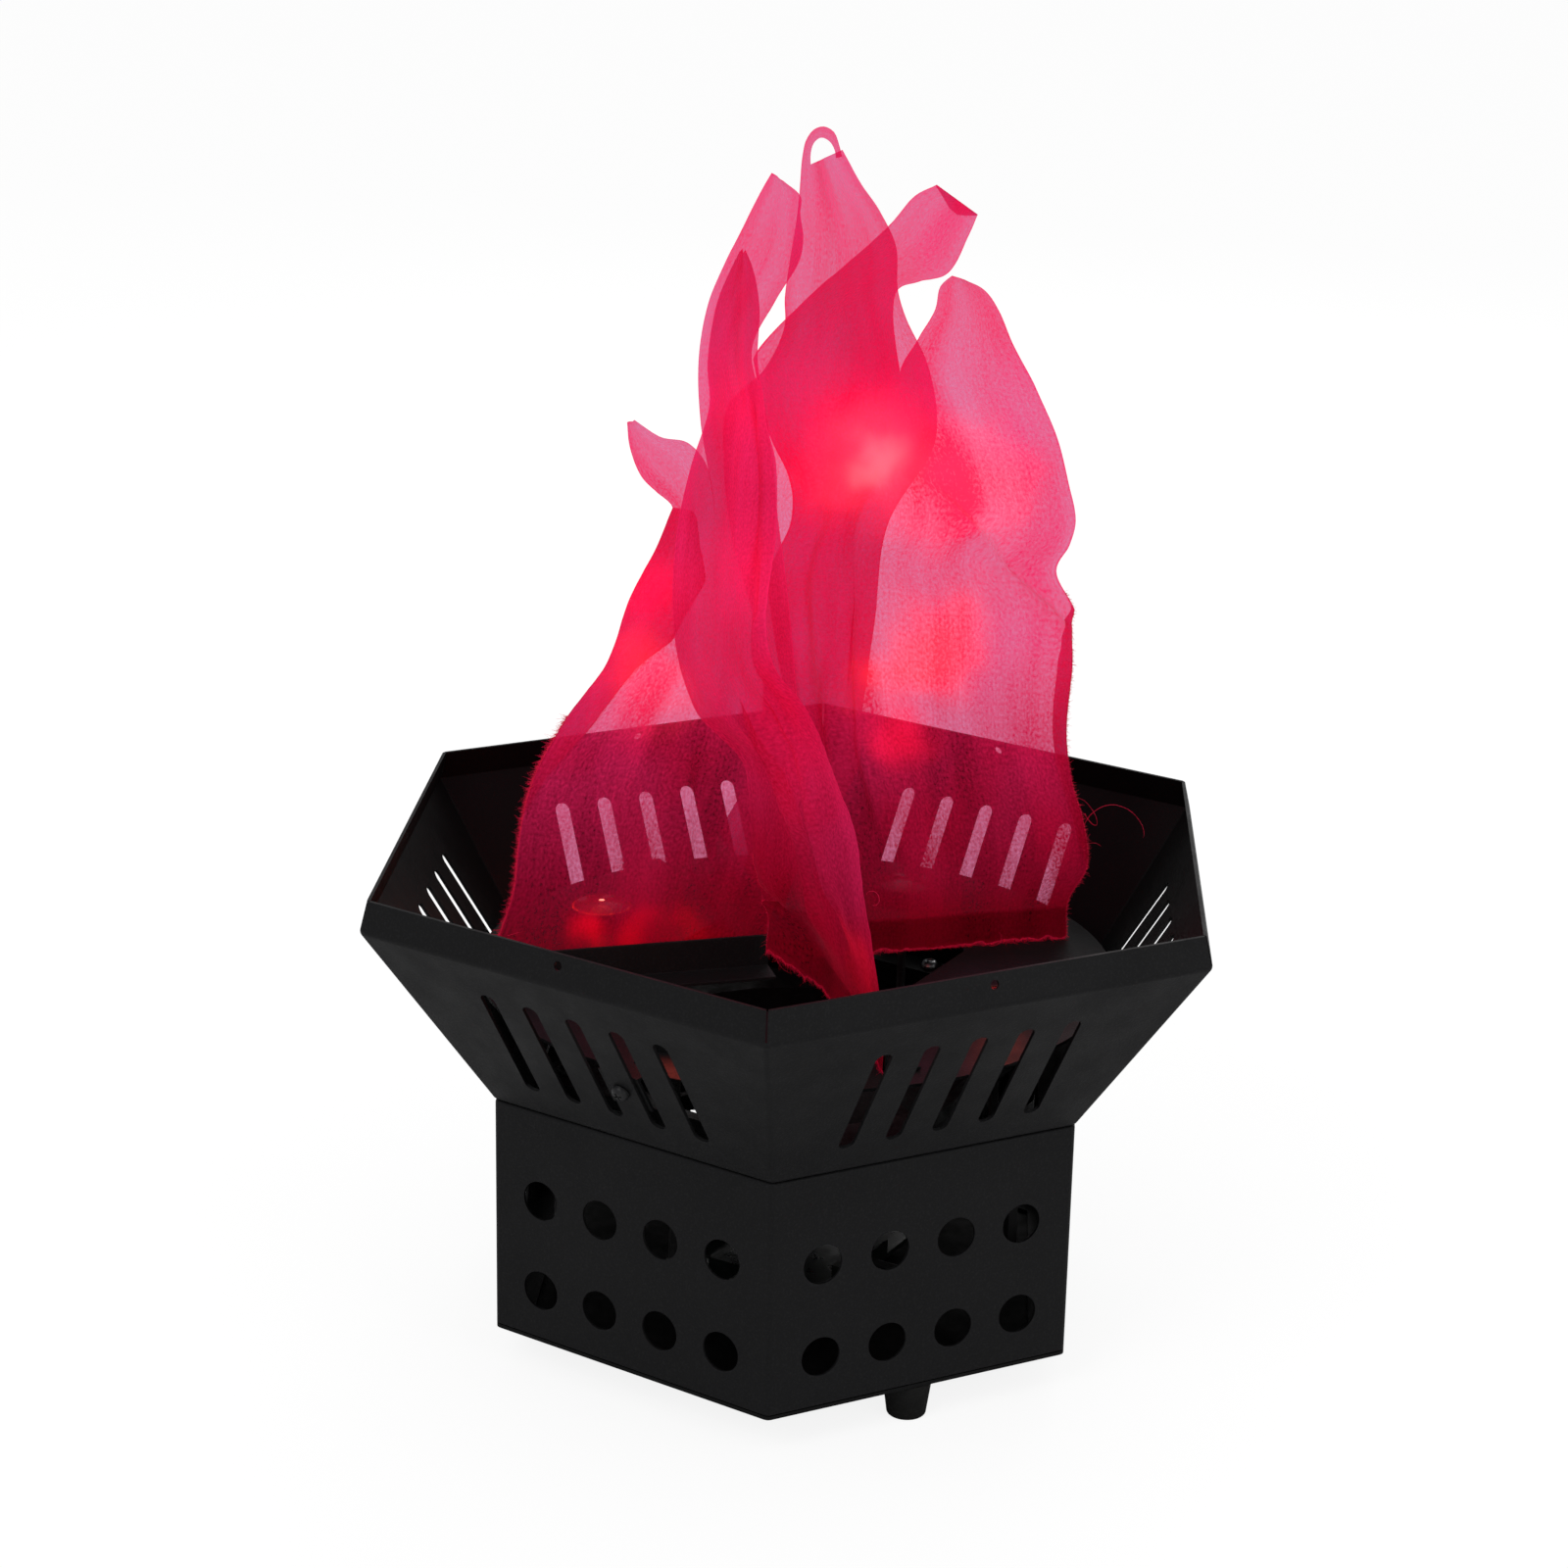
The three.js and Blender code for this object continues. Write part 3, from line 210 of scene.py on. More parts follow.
floor_white, tree, output = new_material("floor_white")
lit = add_node(tree, "ShaderNodeBsdfDiffuse", Color=FLOOR_PAINT)
glow = add_node(tree, "ShaderNodeEmission", Color=WHITE, Strength=FLOOR_GLOW)
share = times(tree, shows_background(tree), FLOOR_GLOW_SHARE)
mixed = mix_shaders(tree, share, lit.outputs[0], glow.outputs[0])
tree.links.new(mixed, output.inputs["Surface"])

half = FLOOR_SIZE / 2
floor_mesh = bpy.data.meshes.new("floor")
corners = [(-half, -half, 0), (half, -half, 0), (half, half, 0), (-half, half, 0)]
floor_mesh.from_pydata(corners, [], [(0, 1, 2, 3)])
floor_mesh.materials.append(floor_white)
floor = bpy.data.objects.new("floor", floor_mesh)
bpy.context.scene.collection.objects.link(floor)
floor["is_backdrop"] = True


def area_lamp(name, place, aim, size, power):
    """A soft square lamp at a place, turned to a point. Places and sizes are in metres."""
    lamp = bpy.data.objects.new(name, bpy.data.lights.new(name, "AREA"))
    lamp.data.size = size
    lamp.data.energy = power
    lamp.location = place
    lamp.rotation_mode = "QUATERNION"
    lamp.rotation_quaternion = (Vector(aim) - Vector(place)).to_track_quat("-Z", "Y")
    bpy.context.scene.collection.objects.link(lamp)


LAMP_AIM = (0, 0, 0.18)
LAMP_SIZE = 0.9
STUDIO_LAMPS = {
    # place in metres, power in watts
    "key_lamp": ((-0.9, -1.3, 1.5), 9),
    "fill_lamp": ((1.3, -0.9, 0.7), 5),
    "back_lamp": ((0.2, 1.4, 1.1), 5),
}
for name, (place, power) in STUDIO_LAMPS.items():
    area_lamp(name, place, LAMP_AIM, LAMP_SIZE, power)
bpy.context.scene.view_settings.view_transform = "Standard"
print("world light:", WORLD_LIGHT)

# %% [markdown]
# The steel has a satin black powder coat. A flat black would look like plastic film, so the finish
# has three layers of detail: a fine orange-peel grain in the bump, a slow drift in the roughness
# where the coat is thicker, and paler edges, partly where powder pulls back from a cut edge and
# wears, and partly a painted highlight along the rounded crests. Faces that look inwards are out of
# the room's light, and a painted shade makes their coat a deeper black.

# %% Powder coat
COAT_COLOUR = (0.0072, 0.0072, 0.0076, 1)
COAT_PALE_COLOUR = (0.022, 0.022, 0.023, 1)
# Painted shade: a deeper black for faces that look inwards
INWARD_SHADE_COLOUR = (0.0026, 0.0026, 0.0028, 1)
COAT_GRAIN_SCALE = 1500  # per metre
COAT_DRIFT_SCALE = 28
COAT_DRIFT = 1.35
COAT_SPECKLE = 0.3
COAT_GRAIN_DEPTH = 0.00006
COAT_ROUGH = (0.42, 0.56)
COAT_GLOSS = 0.06
INWARD = (-0.02, -0.004)  # dot of normal and place, in metres: where the painted inward shade is full, then where it ends
POINTED = (0.52, 0.62)  # of a mesh's pointiness, where an edge begins and is full


def grain(tree, scale, detail=2.0, stretch_by=(1, 1, 1)):
    """Noise in the object's own space: the value socket."""
    place = add_node(tree, "ShaderNodeMapping", Vector=own_place(tree), Scale=stretch_by).outputs[0]
    return add_node(tree, "ShaderNodeTexNoise", Vector=place, Scale=scale, Detail=detail).outputs["Fac"]


def mix_colours(tree, share, first, second):
    """A colour between two colours or sockets."""
    node = tree.nodes.new("ShaderNodeMix")
    node.data_type = "RGBA"
    for at, value in ((0, share), (6, first), (7, second)):
        feed(tree, node.inputs[at], value)
    return node.outputs[2]


def edge_share(tree):
    """Near 1 on outside edges, from how pointed the mesh is there."""
    shape = tree.nodes.new("ShaderNodeNewGeometry")
    return stretch(tree, shape.outputs["Pointiness"], *POINTED, 0, 1)


def surface(name, colour, rough, depth, bump_from, metallic=0.0, gloss=0.5):
    """A Principled material. Functions make the sockets of colour, rough and bump_from."""
    material, tree, output = new_material(name)
    made = {"Base_Color": colour(tree), "Roughness": rough(tree)}
    shader = add_node(tree, "ShaderNodeBsdfPrincipled", **made)
    shader.inputs["Metallic"].default_value = metallic
    shader.inputs["Specular IOR Level"].default_value = gloss
    bump = add_node(tree, "ShaderNodeBump", Height=bump_from(tree), Distance=depth)
    tree.links.new(bump.outputs[0], shader.inputs["Normal"])
    tree.links.new(shader.outputs[0], output.inputs["Surface"])
    return material


def faces_inward(tree):
    """1 on faces that look at the object's own axis, and 0 on all others."""
    normal = tree.nodes.new("ShaderNodeNewGeometry").outputs["Normal"]
    dot = vector_math(tree, "DOT_PRODUCT", normal, flat_place(tree))
    return stretch(tree, dot.outputs["Value"], *INWARD, 1, 0)


def coat_colour(tree):
    """Mottled black with fine specks, paler on edge crests as wear and a painted highlight, and a deeper
    black on faces that look inwards as painted shade.
    """
    thick = [COAT_DRIFT * channel for channel in COAT_COLOUR[:3]] + [1]
    mottled = mix_colours(tree, grain(tree, COAT_DRIFT_SCALE, 4.0), COAT_COLOUR, thick)
    speckles = stretch(tree, grain(tree, COAT_GRAIN_SCALE, 1.0), 0.5, 0.75, 0, COAT_SPECKLE)
    speckled = mix_colours(tree, speckles, mottled, COAT_PALE_COLOUR)
    # Paler crests along the rounded edges: partly wear, partly a painted highlight
    crest = tree.nodes.new("ShaderNodeAttribute")
    crest.attribute_name = "edge_crest"
    worn_and_highlit = times(tree, crest.outputs["Fac"], grain(tree, COAT_DRIFT_SCALE * 6, 3.0))
    coat = mix_colours(tree, worn_and_highlit, speckled, COAT_PALE_COLOUR)
    return mix_colours(tree, faces_inward(tree), coat, INWARD_SHADE_COLOUR)


def coat_rough(tree):
    """Roughness that drifts slowly, where the coat is thicker or thinner."""
    return stretch(tree, grain(tree, COAT_DRIFT_SCALE * 3, 3.0), 0.3, 0.7, *COAT_ROUGH)


powder_coat = surface(
    "black_powder_coat",
    coat_colour,
    coat_rough,
    COAT_GRAIN_DEPTH,
    lambda tree: grain(tree, COAT_GRAIN_SCALE, 2.0),
    gloss=COAT_GLOSS,
)
print("finish:", powder_coat.name)

# %% [markdown]
# Sheet-metal parts are easiest to make the way the shop makes them: a folded shell first, then its
# holes, then a tiny round on every cut edge. A ring of points round a hexagon with rounded corners
# is lofted along a closed profile. A Boolean modifier cuts the holes and a Bevel modifier rounds
# the edges, and both are applied, so that the mesh itself has the shape.

# %% Mesh helpers
SHEET = 1 * MM
EDGE_ROUND = 0.15 * MM
EDGE_SEGMENTS = 2
OVERRUN = 3 * MM  # how far a cutter reaches past the sheet
SMOOTH_ANGLE = math.radians(35)
CORNER_STEPS = 4
WALLS = 6
SIXTH = math.radians(60)
FIRST_CORNER = math.radians(-90)
FIRST_PANEL = FIRST_CORNER + SIXTH / 2


def add_object(name, points, faces):
    """A linked mesh object from points and faces."""
    mesh = bpy.data.meshes.new(name)
    mesh.from_pydata([tuple(point) for point in points], [], faces)
    mesh.update()
    made = bpy.data.objects.new(name, mesh)
    bpy.context.scene.collection.objects.link(made)
    return made


def outward(thing):
    """Turns every face of a closed mesh outwards."""
    work = bmesh.new()
    work.from_mesh(thing.data)
    bmesh.ops.recalc_face_normals(work, faces=work.faces)
    work.to_mesh(thing.data)
    work.free()
    return thing


def solid(name, shape):
    """A closed mesh object from a shape's points and faces."""
    return outward(add_object(name, *shape))


def apply_modifiers(thing):
    """Bakes an object's modifiers into its mesh."""
    shown = thing.evaluated_get(bpy.context.evaluated_depsgraph_get())
    made = bpy.data.meshes.new_from_object(shown)
    thing.modifiers.clear()
    thing.data = made
    return thing


def combine(thing, tool, operation):
    """A Boolean of two closed meshes. The tool is removed."""
    bpy.context.view_layer.update()
    modifier = thing.modifiers.new("combine", "BOOLEAN")
    modifier.object = tool
    modifier.operation = operation
    modifier.solver = "EXACT"
    apply_modifiers(thing)
    bpy.data.objects.remove(tool)
    return thing


def smooth_faces(thing):
    """Smooth shading, with the sharp edges kept sharp."""
    thing.data.shade_smooth()
    thing.data.set_sharp_from_angle(angle=SMOOTH_ANGLE)
    return thing


def round_edges(thing):
    """A small round on every sharp edge, and smooth shading in between."""
    modifier = thing.modifiers.new("round", "BEVEL")
    modifier.width = EDGE_ROUND
    modifier.segments = EDGE_SEGMENTS
    modifier.limit_method = "ANGLE"
    modifier.angle_limit = SMOOTH_ANGLE
    thing.data.shade_smooth()
    thing.modifiers.new("flat_faces", "WEIGHTED_NORMAL").weight = 100
    apply_modifiers(thing)
    return mark_crests(thing)


def mark_crests(thing):
    """Gives points on the rounded edges the value 1, and all others 0."""
    mesh = thing.data
    slim = [face for face in mesh.polygons if len(face.vertices) <= 4]
    narrow = {face.index for face in slim if shortest_side(mesh, face) < EDGE_ROUND * 1.3}
    linked = [[] for _ in mesh.vertices]
    for face in mesh.polygons:
        for vertex in face.vertices:
            linked[vertex].append(face.index in narrow)
    values = [1.0 if all(sides) else 0.0 for sides in linked]
    mesh.attributes.new("edge_crest", "FLOAT", "POINT").data.foreach_set("value", values)
    return thing


def shortest_side(mesh, face):
    """The length of a face's shortest side."""
    corners = [mesh.vertices[at].co for at in face.vertices]
    return min((a - b).length for a, b in zip(corners, corners[1:] + corners[:1]))


def dress(thing, material, slot, *replaced, body="root"):
    """Gives a piece its finish and its body, and hides the nodes that it stands for. The slot is not
    used.
    """
    thing.data.materials.clear()
    thing.data.materials.append(material)
    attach(thing, body)
    if replaced:
        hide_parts(*replaced)
    return thing


def hex_ring(apothem, height, turn_radius):
    """Points round a hexagon with rounded corners, at one height."""
    points = []
    centre = (apothem - turn_radius) / math.cos(SIXTH / 2)
    for corner in range(WALLS):
        middle = FIRST_CORNER + corner * SIXTH
        for step in range(CORNER_STEPS + 1):
            turn = middle + (step / CORNER_STEPS - 0.5) * SIXTH
            x = centre * math.cos(middle) + turn_radius * math.cos(turn)
            y = centre * math.sin(middle) + turn_radius * math.sin(turn)
            points.append((x, y, height))
    return points


def loft(rings, closed=False):
    """Faces between rings of equal length. An open loft has its first and last ring capped."""
    count = len(rings[0])
    faces = []
    last = len(rings) if closed else len(rings) - 1
    for row in range(last):
        after = (row + 1) % len(rings)
        for at in range(count):
            beside = (at + 1) % count
            here, above = row * count, after * count
            faces.append((here + at, here + beside, above + beside, above + at))
    if not closed:
        faces.append(tuple(reversed(range(count))))
        faces.append(tuple(range((len(rings) - 1) * count, len(rings) * count)))
    return [point for ring in rings for point in ring], faces


def circle(radius, height, facets):
    """Points round a circle at one height."""
    turns = [math.tau * facet / facets for facet in range(facets)]
    return [(radius * math.cos(turn), radius * math.sin(turn), height) for turn in turns]


def lathe(name, rings, facets, closed=False):
    """A closed turned piece about Z, from the radius and height of each ring."""
    return solid(name, loft([circle(r, z, facets) for r, z in rings], closed))


def rounded_top(outer, top, edge, count):
    """Points round a quarter of a circle, from a flat top down to an upright side."""
    turns = np.linspace(0, math.pi / 2, count)
    return [(outer - edge * (1 - math.cos(t)), top - edge * (1 - math.sin(t))) for t in turns]


class Shapes:
    """Gathers many shapes into one mesh, each moved by a matrix."""

    def __init__(self):
        self.points = []
        self.faces = []

    def add(self, shape, place=Matrix.Identity(4)):
        points, faces = shape
        start = len(self.points)
        self.points += [place @ Vector(point) for point in points]
        self.faces += [tuple(start + at for at in face) for face in faces]

    def thing(self, name="cutters"):
        return solid(name, (self.points, self.faces))


def pierced(thing, cutters):
    """A sheet with its holes cut and its edges rounded."""
    return round_edges(combine(thing, cutters.thing(), "DIFFERENCE"))


def rod(radius, low, high, facets):
    """A cylinder about Z between two heights."""
    return loft([circle(radius, low, facets), circle(radius, high, facets)])


def bore(radius, low, high, facets):
    """The cutter for a round hole, longer than the sheet is thick."""
    return rod(radius, low - OVERRUN, high + OVERRUN, facets)


def block(low, high):
    """A box between two corners."""
    ring = [(low[0], low[1]), (high[0], low[1]), (high[0], high[1]), (low[0], high[1])]
    return loft([[(x, y, z) for x, y in ring] for z in (low[2], high[2])])


def around(turn, x, y=0.0, z=0.0):
    """A place moved out along X and then turned about Z."""
    return Matrix.Rotation(turn, 4, "Z") @ Matrix.Translation((x, y, z))


def panel_frame(angle, lean, apothem, height):
    """A wall's own frame: x runs round the body, y up the wall and z out of it."""
    along = Vector((-math.sin(angle), math.cos(angle), 0))
    up = Vector((math.sin(lean) * math.cos(angle), math.sin(lean) * math.sin(angle), math.cos(lean)))
    out = along.cross(up)
    place = Matrix((along, up, out)).transposed().to_4x4()
    place.translation = (apothem * math.cos(angle), apothem * math.sin(angle), height)
    return place


def panel_angle(panel):
    """The direction that a wall faces, counted from the front right one."""
    return FIRST_PANEL + panel * SIXTH


# %% [markdown]
# The box under the basket is one folded strip with two rows of round vents on each wall. Its lips
# turn in at the waist and at the bottom, and the turned edge shows as the thin dark line between
# box and basket. The shell stands for the coarser solid of the same size.

# %% Perforated box
box_low, box_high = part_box("base_shell")
BOX_APOTHEM = box_high.x
BOX_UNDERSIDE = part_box("bottom_plate")[0].z
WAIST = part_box("bowl_shell")[0].z
LIP = 11 * MM
FOLD_ROUND = 2 * MM
TURNED_ROUND = 0.8 * MM
VENT_RADIUS = 6.35 * MM
VENT_PITCH = 22.4 * MM
VENT_ROWS = (17.5 * MM, 47.8 * MM)
VENT_COLUMNS = 4
SHANK_HOLE = 1.85 * MM
FOOT_RING = 81 * MM
WAIST_SCREW_RING = 82.5 * MM
WAIST_PANELS = (0, 2, 4)
TAB_PANELS = (1, 3, 5)
JACK_PANEL = 2
JACK_HEIGHT = 32.65 * MM
JACK_HOLE = 5.5 * MM
INLET_FRAME = panel_frame(panel_angle(JACK_PANEL), 0, BOX_APOTHEM, BOX_UNDERSIDE + JACK_HEIGHT)


def perforated_box():
    """The folded strip with its lips, vents and screw holes."""
    inside = FOLD_ROUND - SHEET
    lip = BOX_APOTHEM - LIP
    wall = BOX_APOTHEM - SHEET
    rounded = rounded_top(BOX_APOTHEM, box_high.z, TURNED_ROUND, 5)
    profile = [(lip, box_low.z, inside), (BOX_APOTHEM, box_low.z, FOLD_ROUND)]
    profile += [(apothem, height, FOLD_ROUND) for apothem, height in rounded]
    profile += [(lip, box_high.z, inside), (lip, box_high.z - SHEET, inside)]
    profile += [(wall, box_high.z - SHEET, inside), (wall, box_low.z + SHEET, inside)]
    profile += [(lip, box_low.z + SHEET, inside)]
    shell = solid("box_shell", loft([hex_ring(*row) for row in profile], closed=True))
    cutters = Shapes()
    vent = bore(VENT_RADIUS, -SHEET, 0, 48)
    for panel in range(WALLS):
        wall_frame = panel_frame(panel_angle(panel), 0, BOX_APOTHEM, BOX_UNDERSIDE)
        for height in VENT_ROWS:
            for column in range(VENT_COLUMNS):
                across = (column - (VENT_COLUMNS - 1) / 2) * VENT_PITCH
                cutters.add(vent, wall_frame @ Matrix.Translation((across, height, 0)))
    cutters.add(bore(JACK_HOLE, -SHEET, 0, 32), INLET_FRAME)
    for panel in WAIST_PANELS:
        low = bore(SHANK_HOLE, box_low.z, box_low.z + SHEET, 20)
        high = bore(SHANK_HOLE, box_high.z - SHEET, box_high.z, 20)
        cutters.add(low, around(panel_angle(panel), FOOT_RING))
        cutters.add(high, around(panel_angle(panel), WAIST_SCREW_RING))
    return pierced(shell, cutters)


box_shell = dress(perforated_box(), powder_coat, "black_paint", "base_shell")
print("box faces:", len(box_shell.data.polygons))

# %% [markdown]
# The basket's six walls flare out, and a narrow band along the rim leans back in. Each wall has
# five upright slots with round ends, each band one small hole, and the band is slit at the corners
# so that it can fold. It is lofted and cut like the box, with a rounded crease at the fold.

# %% Flared basket
basket_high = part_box("bowl_shell")[1]
FOLD_APOTHEM = basket_high.x
RIM_TOP = basket_high.z
FLARE_RISE = 60.8 * MM
RIM_LEAN = 2.25 * MM
FOLD = WAIST + FLARE_RISE
FLARE_LEAN = math.atan((FOLD_APOTHEM - BOX_APOTHEM) / FLARE_RISE)
RIM_TILT = math.atan(RIM_LEAN / (RIM_TOP - FOLD))
FLARE_WALL = SHEET / math.cos(FLARE_LEAN)
SLOT_WIDTH = 5.3 * MM
SLOT_PITCH = 15.4 * MM
SLOT_ENDS = (11.9 * MM, 56.8 * MM)
SLOTS = 5
BAND_HOLE = 1.4 * MM
BAND_HOLE_RISE = 6.4 * MM
CORNER_SLIT = 0.5 * MM
TAB_SHIFT = 6.9 * MM
TAB_SCREW_UP = 22.7 * MM / math.cos(FLARE_LEAN)
CREASE = 1.1 * MM


def tab_screw_place(panel, out=0.0):
    """Where a tab's screw goes through its wall, moved out of the wall by a length."""
    wall = panel_frame(panel_angle(panel), FLARE_LEAN, BOX_APOTHEM, WAIST)
    return wall @ Matrix.Translation((TAB_SHIFT, TAB_SCREW_UP, out))


def slot_shape():
    """The cutter for one slot with round ends, in its wall's own frame."""
    radius = SLOT_WIDTH / 2
    outline = []
    for centre, start in ((SLOT_ENDS[1] - radius, 0), (SLOT_ENDS[0] + radius, math.pi)):
        for turn in np.linspace(start, start + math.pi, 13):
            outline.append((radius * math.cos(turn), centre + radius * math.sin(turn)))
    return loft([[(x, y, z) for x, y in outline] for z in (-SHEET - OVERRUN, OVERRUN)])


def crease_rows(apothem, height, below, above, setback):
    """A fold's corner as a few rows along a curve between the walls below and above it."""
    corner = Vector((apothem, height))
    start = corner - setback * Vector((math.sin(below), math.cos(below)))
    end = corner + setback * Vector((-math.sin(above), math.cos(above)))
    shares = np.linspace(0, 1, 5)
    return [tuple((1 - s) ** 2 * start + 2 * s * (1 - s) * corner + s * s * end) for s in shares]


def flared_basket():
    """The flared walls and the rim band, with slots, band holes, corner slits and screw holes."""
    inside = FOLD_ROUND - SHEET
    lip = BOX_APOTHEM - LIP
    band = SHEET / math.cos(RIM_TILT)
    rise = (FLARE_WALL - band) / (math.tan(FLARE_LEAN) + math.tan(RIM_TILT))
    inner_fold = FOLD_APOTHEM + rise * math.tan(FLARE_LEAN) - FLARE_WALL
    foot = BOX_APOTHEM + TURNED_ROUND * math.tan(FLARE_LEAN)
    profile = [(lip, WAIST, inside), (BOX_APOTHEM - TURNED_ROUND, WAIST, FOLD_ROUND)]
    profile += [(BOX_APOTHEM - TURNED_ROUND * 0.3, WAIST + TURNED_ROUND * 0.2, FOLD_ROUND)]
    profile += [(foot, WAIST + TURNED_ROUND, FOLD_ROUND)]
    outer = crease_rows(FOLD_APOTHEM, FOLD, FLARE_LEAN, RIM_TILT, CREASE)
    profile += [(apothem, height, FOLD_ROUND) for apothem, height in outer]
    profile += [(FOLD_APOTHEM - RIM_LEAN, RIM_TOP, FOLD_ROUND)]
    profile += [(FOLD_APOTHEM - RIM_LEAN - band, RIM_TOP, inside), (inner_fold, FOLD + rise, inside)]
    profile += [(BOX_APOTHEM + SHEET * math.tan(FLARE_LEAN) - FLARE_WALL, WAIST + SHEET, inside)]
    profile += [(lip, WAIST + SHEET, inside)]
    shell = solid("basket_shell", loft([hex_ring(*row) for row in profile], closed=True))
    cutters = Shapes()
    slot = slot_shape()
    hole = bore(SHANK_HOLE, -SHEET, 0, 24)
    for panel in range(WALLS):
        angle = panel_angle(panel)
        wall = panel_frame(angle, FLARE_LEAN, BOX_APOTHEM, WAIST)
        for at in range(SLOTS):
            across = (at - (SLOTS - 1) / 2) * SLOT_PITCH
            cutters.add(slot, wall @ Matrix.Translation((across, 0, 0)))
        rim = panel_frame(angle, -RIM_TILT, FOLD_APOTHEM, FOLD)
        rim_hole = bore(BAND_HOLE, -SHEET, 0, 24)
        cutters.add(rim_hole, rim @ Matrix.Translation((0, BAND_HOLE_RISE, 0)))
        low = (FOLD_APOTHEM - RIM_LEAN, -CORNER_SLIT / 2, FOLD + SHEET)
        high = (FOLD_APOTHEM / math.cos(SIXTH / 2) + OVERRUN, CORNER_SLIT / 2, RIM_TOP + OVERRUN)
        cutters.add(block(low, high), Matrix.Rotation(FIRST_CORNER + panel * SIXTH, 4, "Z"))
        if panel in TAB_PANELS:
            cutters.add(hole, tab_screw_place(panel))
        else:
            through = bore(SHANK_HOLE, WAIST, WAIST + SHEET, 20)
            cutters.add(through, around(angle, WAIST_SCREW_RING))
    return pierced(shell, cutters)


basket = dress(flared_basket(), powder_coat, "black_paint", "bowl_shell")
print("basket faces:", len(basket.data.polygons))

# %% [markdown]
# Inside the basket lies a round deck with a square opening for the fan's air. The deck could be a
# plain disc, but its tabs, lens holes and opening are what the eye finds through the silk, so it is
# cut in full: a disc, three bent tabs joined to it, and the openings taken out.

# %% Deck
deck_low, deck_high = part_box("deck_plate")
DECK_TOP = deck_high.z
DECK_RADIUS = deck_high.y
CROSS_ANGLE = math.radians(18.4)
AIR_HALF = 40 * MM
AIR_CORNER = 3 * MM
LENS_RING = 73 * MM
LENS_HOLE = 11.4 * MM
TAB_WIDTH = 14 * MM
TAB_ROOT = 5 * MM
BAR_OFFSET = 2.7 * MM
BAR_FOOT = 10 * MM
BAR_START = 10 * MM
BAR_END = 90.5 * MM
BAR_SCREW_RING = 78 * MM
BAR_SCREW_ACROSS = BAR_OFFSET + SHEET + BAR_FOOT / 2
SEAT = 0.3 * MM


def quarter_turns(extra=0.0):
    """The four directions of the cross, or four others turned on from them."""
    return [CROSS_ANGLE + extra + quarter * math.pi / 2 for quarter in range(4)]


def air_opening():
    """The cutter for the square opening with rounded corners."""
    outline = []
    for quarter in range(4):
        start = quarter * math.pi / 2
        inner = (AIR_HALF - AIR_CORNER) * math.sqrt(2)
        for turn in np.linspace(start, start + math.pi / 2, 7):
            x = inner * math.cos(start + math.pi / 4) + AIR_CORNER * math.cos(turn)
            y = inner * math.sin(start + math.pi / 4) + AIR_CORNER * math.sin(turn)
            outline.append((x, y))
    heights = (DECK_TOP - SHEET - OVERRUN, DECK_TOP + OVERRUN)
    return loft([[(x, y, z) for x, y in outline] for z in heights])


def deck_tab():
    """One tab, bent down along the inside of a flared wall."""

    def outside(height):
        wall = BOX_APOTHEM + (height - WAIST) * math.tan(FLARE_LEAN) - FLARE_WALL
        return wall - SEAT / math.cos(FLARE_LEAN)

    under = DECK_TOP - SHEET
    side = [
        (DECK_RADIUS - TAB_ROOT, under),
        (outside(under) - FLARE_WALL, under),
        (outside(deck_low.z) - FLARE_WALL, deck_low.z),
        (outside(deck_low.z), deck_low.z),
        (outside(DECK_TOP), DECK_TOP),
        (DECK_RADIUS - TAB_ROOT, DECK_TOP),
    ]
    rows = [TAB_SHIFT - TAB_WIDTH / 2, TAB_SHIFT + TAB_WIDTH / 2]
    return loft([[(x, y, z) for x, z in side] for y in rows])


def deck():
    """The round plate with its tabs, its air opening, its lens holes and its screw holes."""
    plate = solid("deck", rod(DECK_RADIUS, DECK_TOP - SHEET, DECK_TOP, 144))
    tabs = Shapes()
    cutters = Shapes()
    for panel in TAB_PANELS:
        tabs.add(deck_tab(), Matrix.Rotation(panel_angle(panel), 4, "Z"))
        cutters.add(rod(SHANK_HOLE, -TAB_WIDTH, OVERRUN, 24), tab_screw_place(panel))
    combine(plate, tabs.thing("tabs"), "UNION")
    cutters.add(air_opening(), Matrix.Rotation(CROSS_ANGLE + math.pi / 4, 4, "Z"))
    through = (DECK_TOP - SHEET, DECK_TOP)
    for lens_turn, bar_turn in zip(quarter_turns(math.pi / 4), quarter_turns()):
        cutters.add(bore(LENS_HOLE, *through, 48), around(lens_turn, LENS_RING))
        screw_place = around(bar_turn, BAR_SCREW_RING, BAR_SCREW_ACROSS)
        cutters.add(bore(SHANK_HOLE, *through, 20), screw_place)
    return pierced(plate, cutters)


deck_plate = dress(deck(), powder_coat, "black_paint", "deck_plate")
print("deck faces:", len(deck_plate.data.polygons))

# %% [markdown]
# Four angle bars lie on the deck as a cross and carry the silks by their hems. A bent bar has a
# round on the outside of its bend, so the section is drawn with that arc and swept straight along.

# %% Angle bars
BAR_NAMES = ("right", "back", "left", "front")
BAR_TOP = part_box("silk_arm_right")[1].z
BAR_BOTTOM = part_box("silk_arm_right")[0].z
BEND = 1.3 * MM


def bar_section():
    """The bar's L, as (across, height) points. Its silk side is the low end of across."""
    low = BAR_OFFSET
    points = [
        (low + BEND * (1 - math.cos(turn)), BAR_BOTTOM + BEND * (1 - math.sin(turn)))
        for turn in np.linspace(0, math.pi / 2, 5)
    ]
    points += [(low + SHEET + BAR_FOOT, BAR_BOTTOM), (low + SHEET + BAR_FOOT, BAR_BOTTOM + SHEET)]
    points += [(low + SHEET, BAR_BOTTOM + SHEET), (low + SHEET, BAR_TOP), (low, BAR_TOP)]
    return points


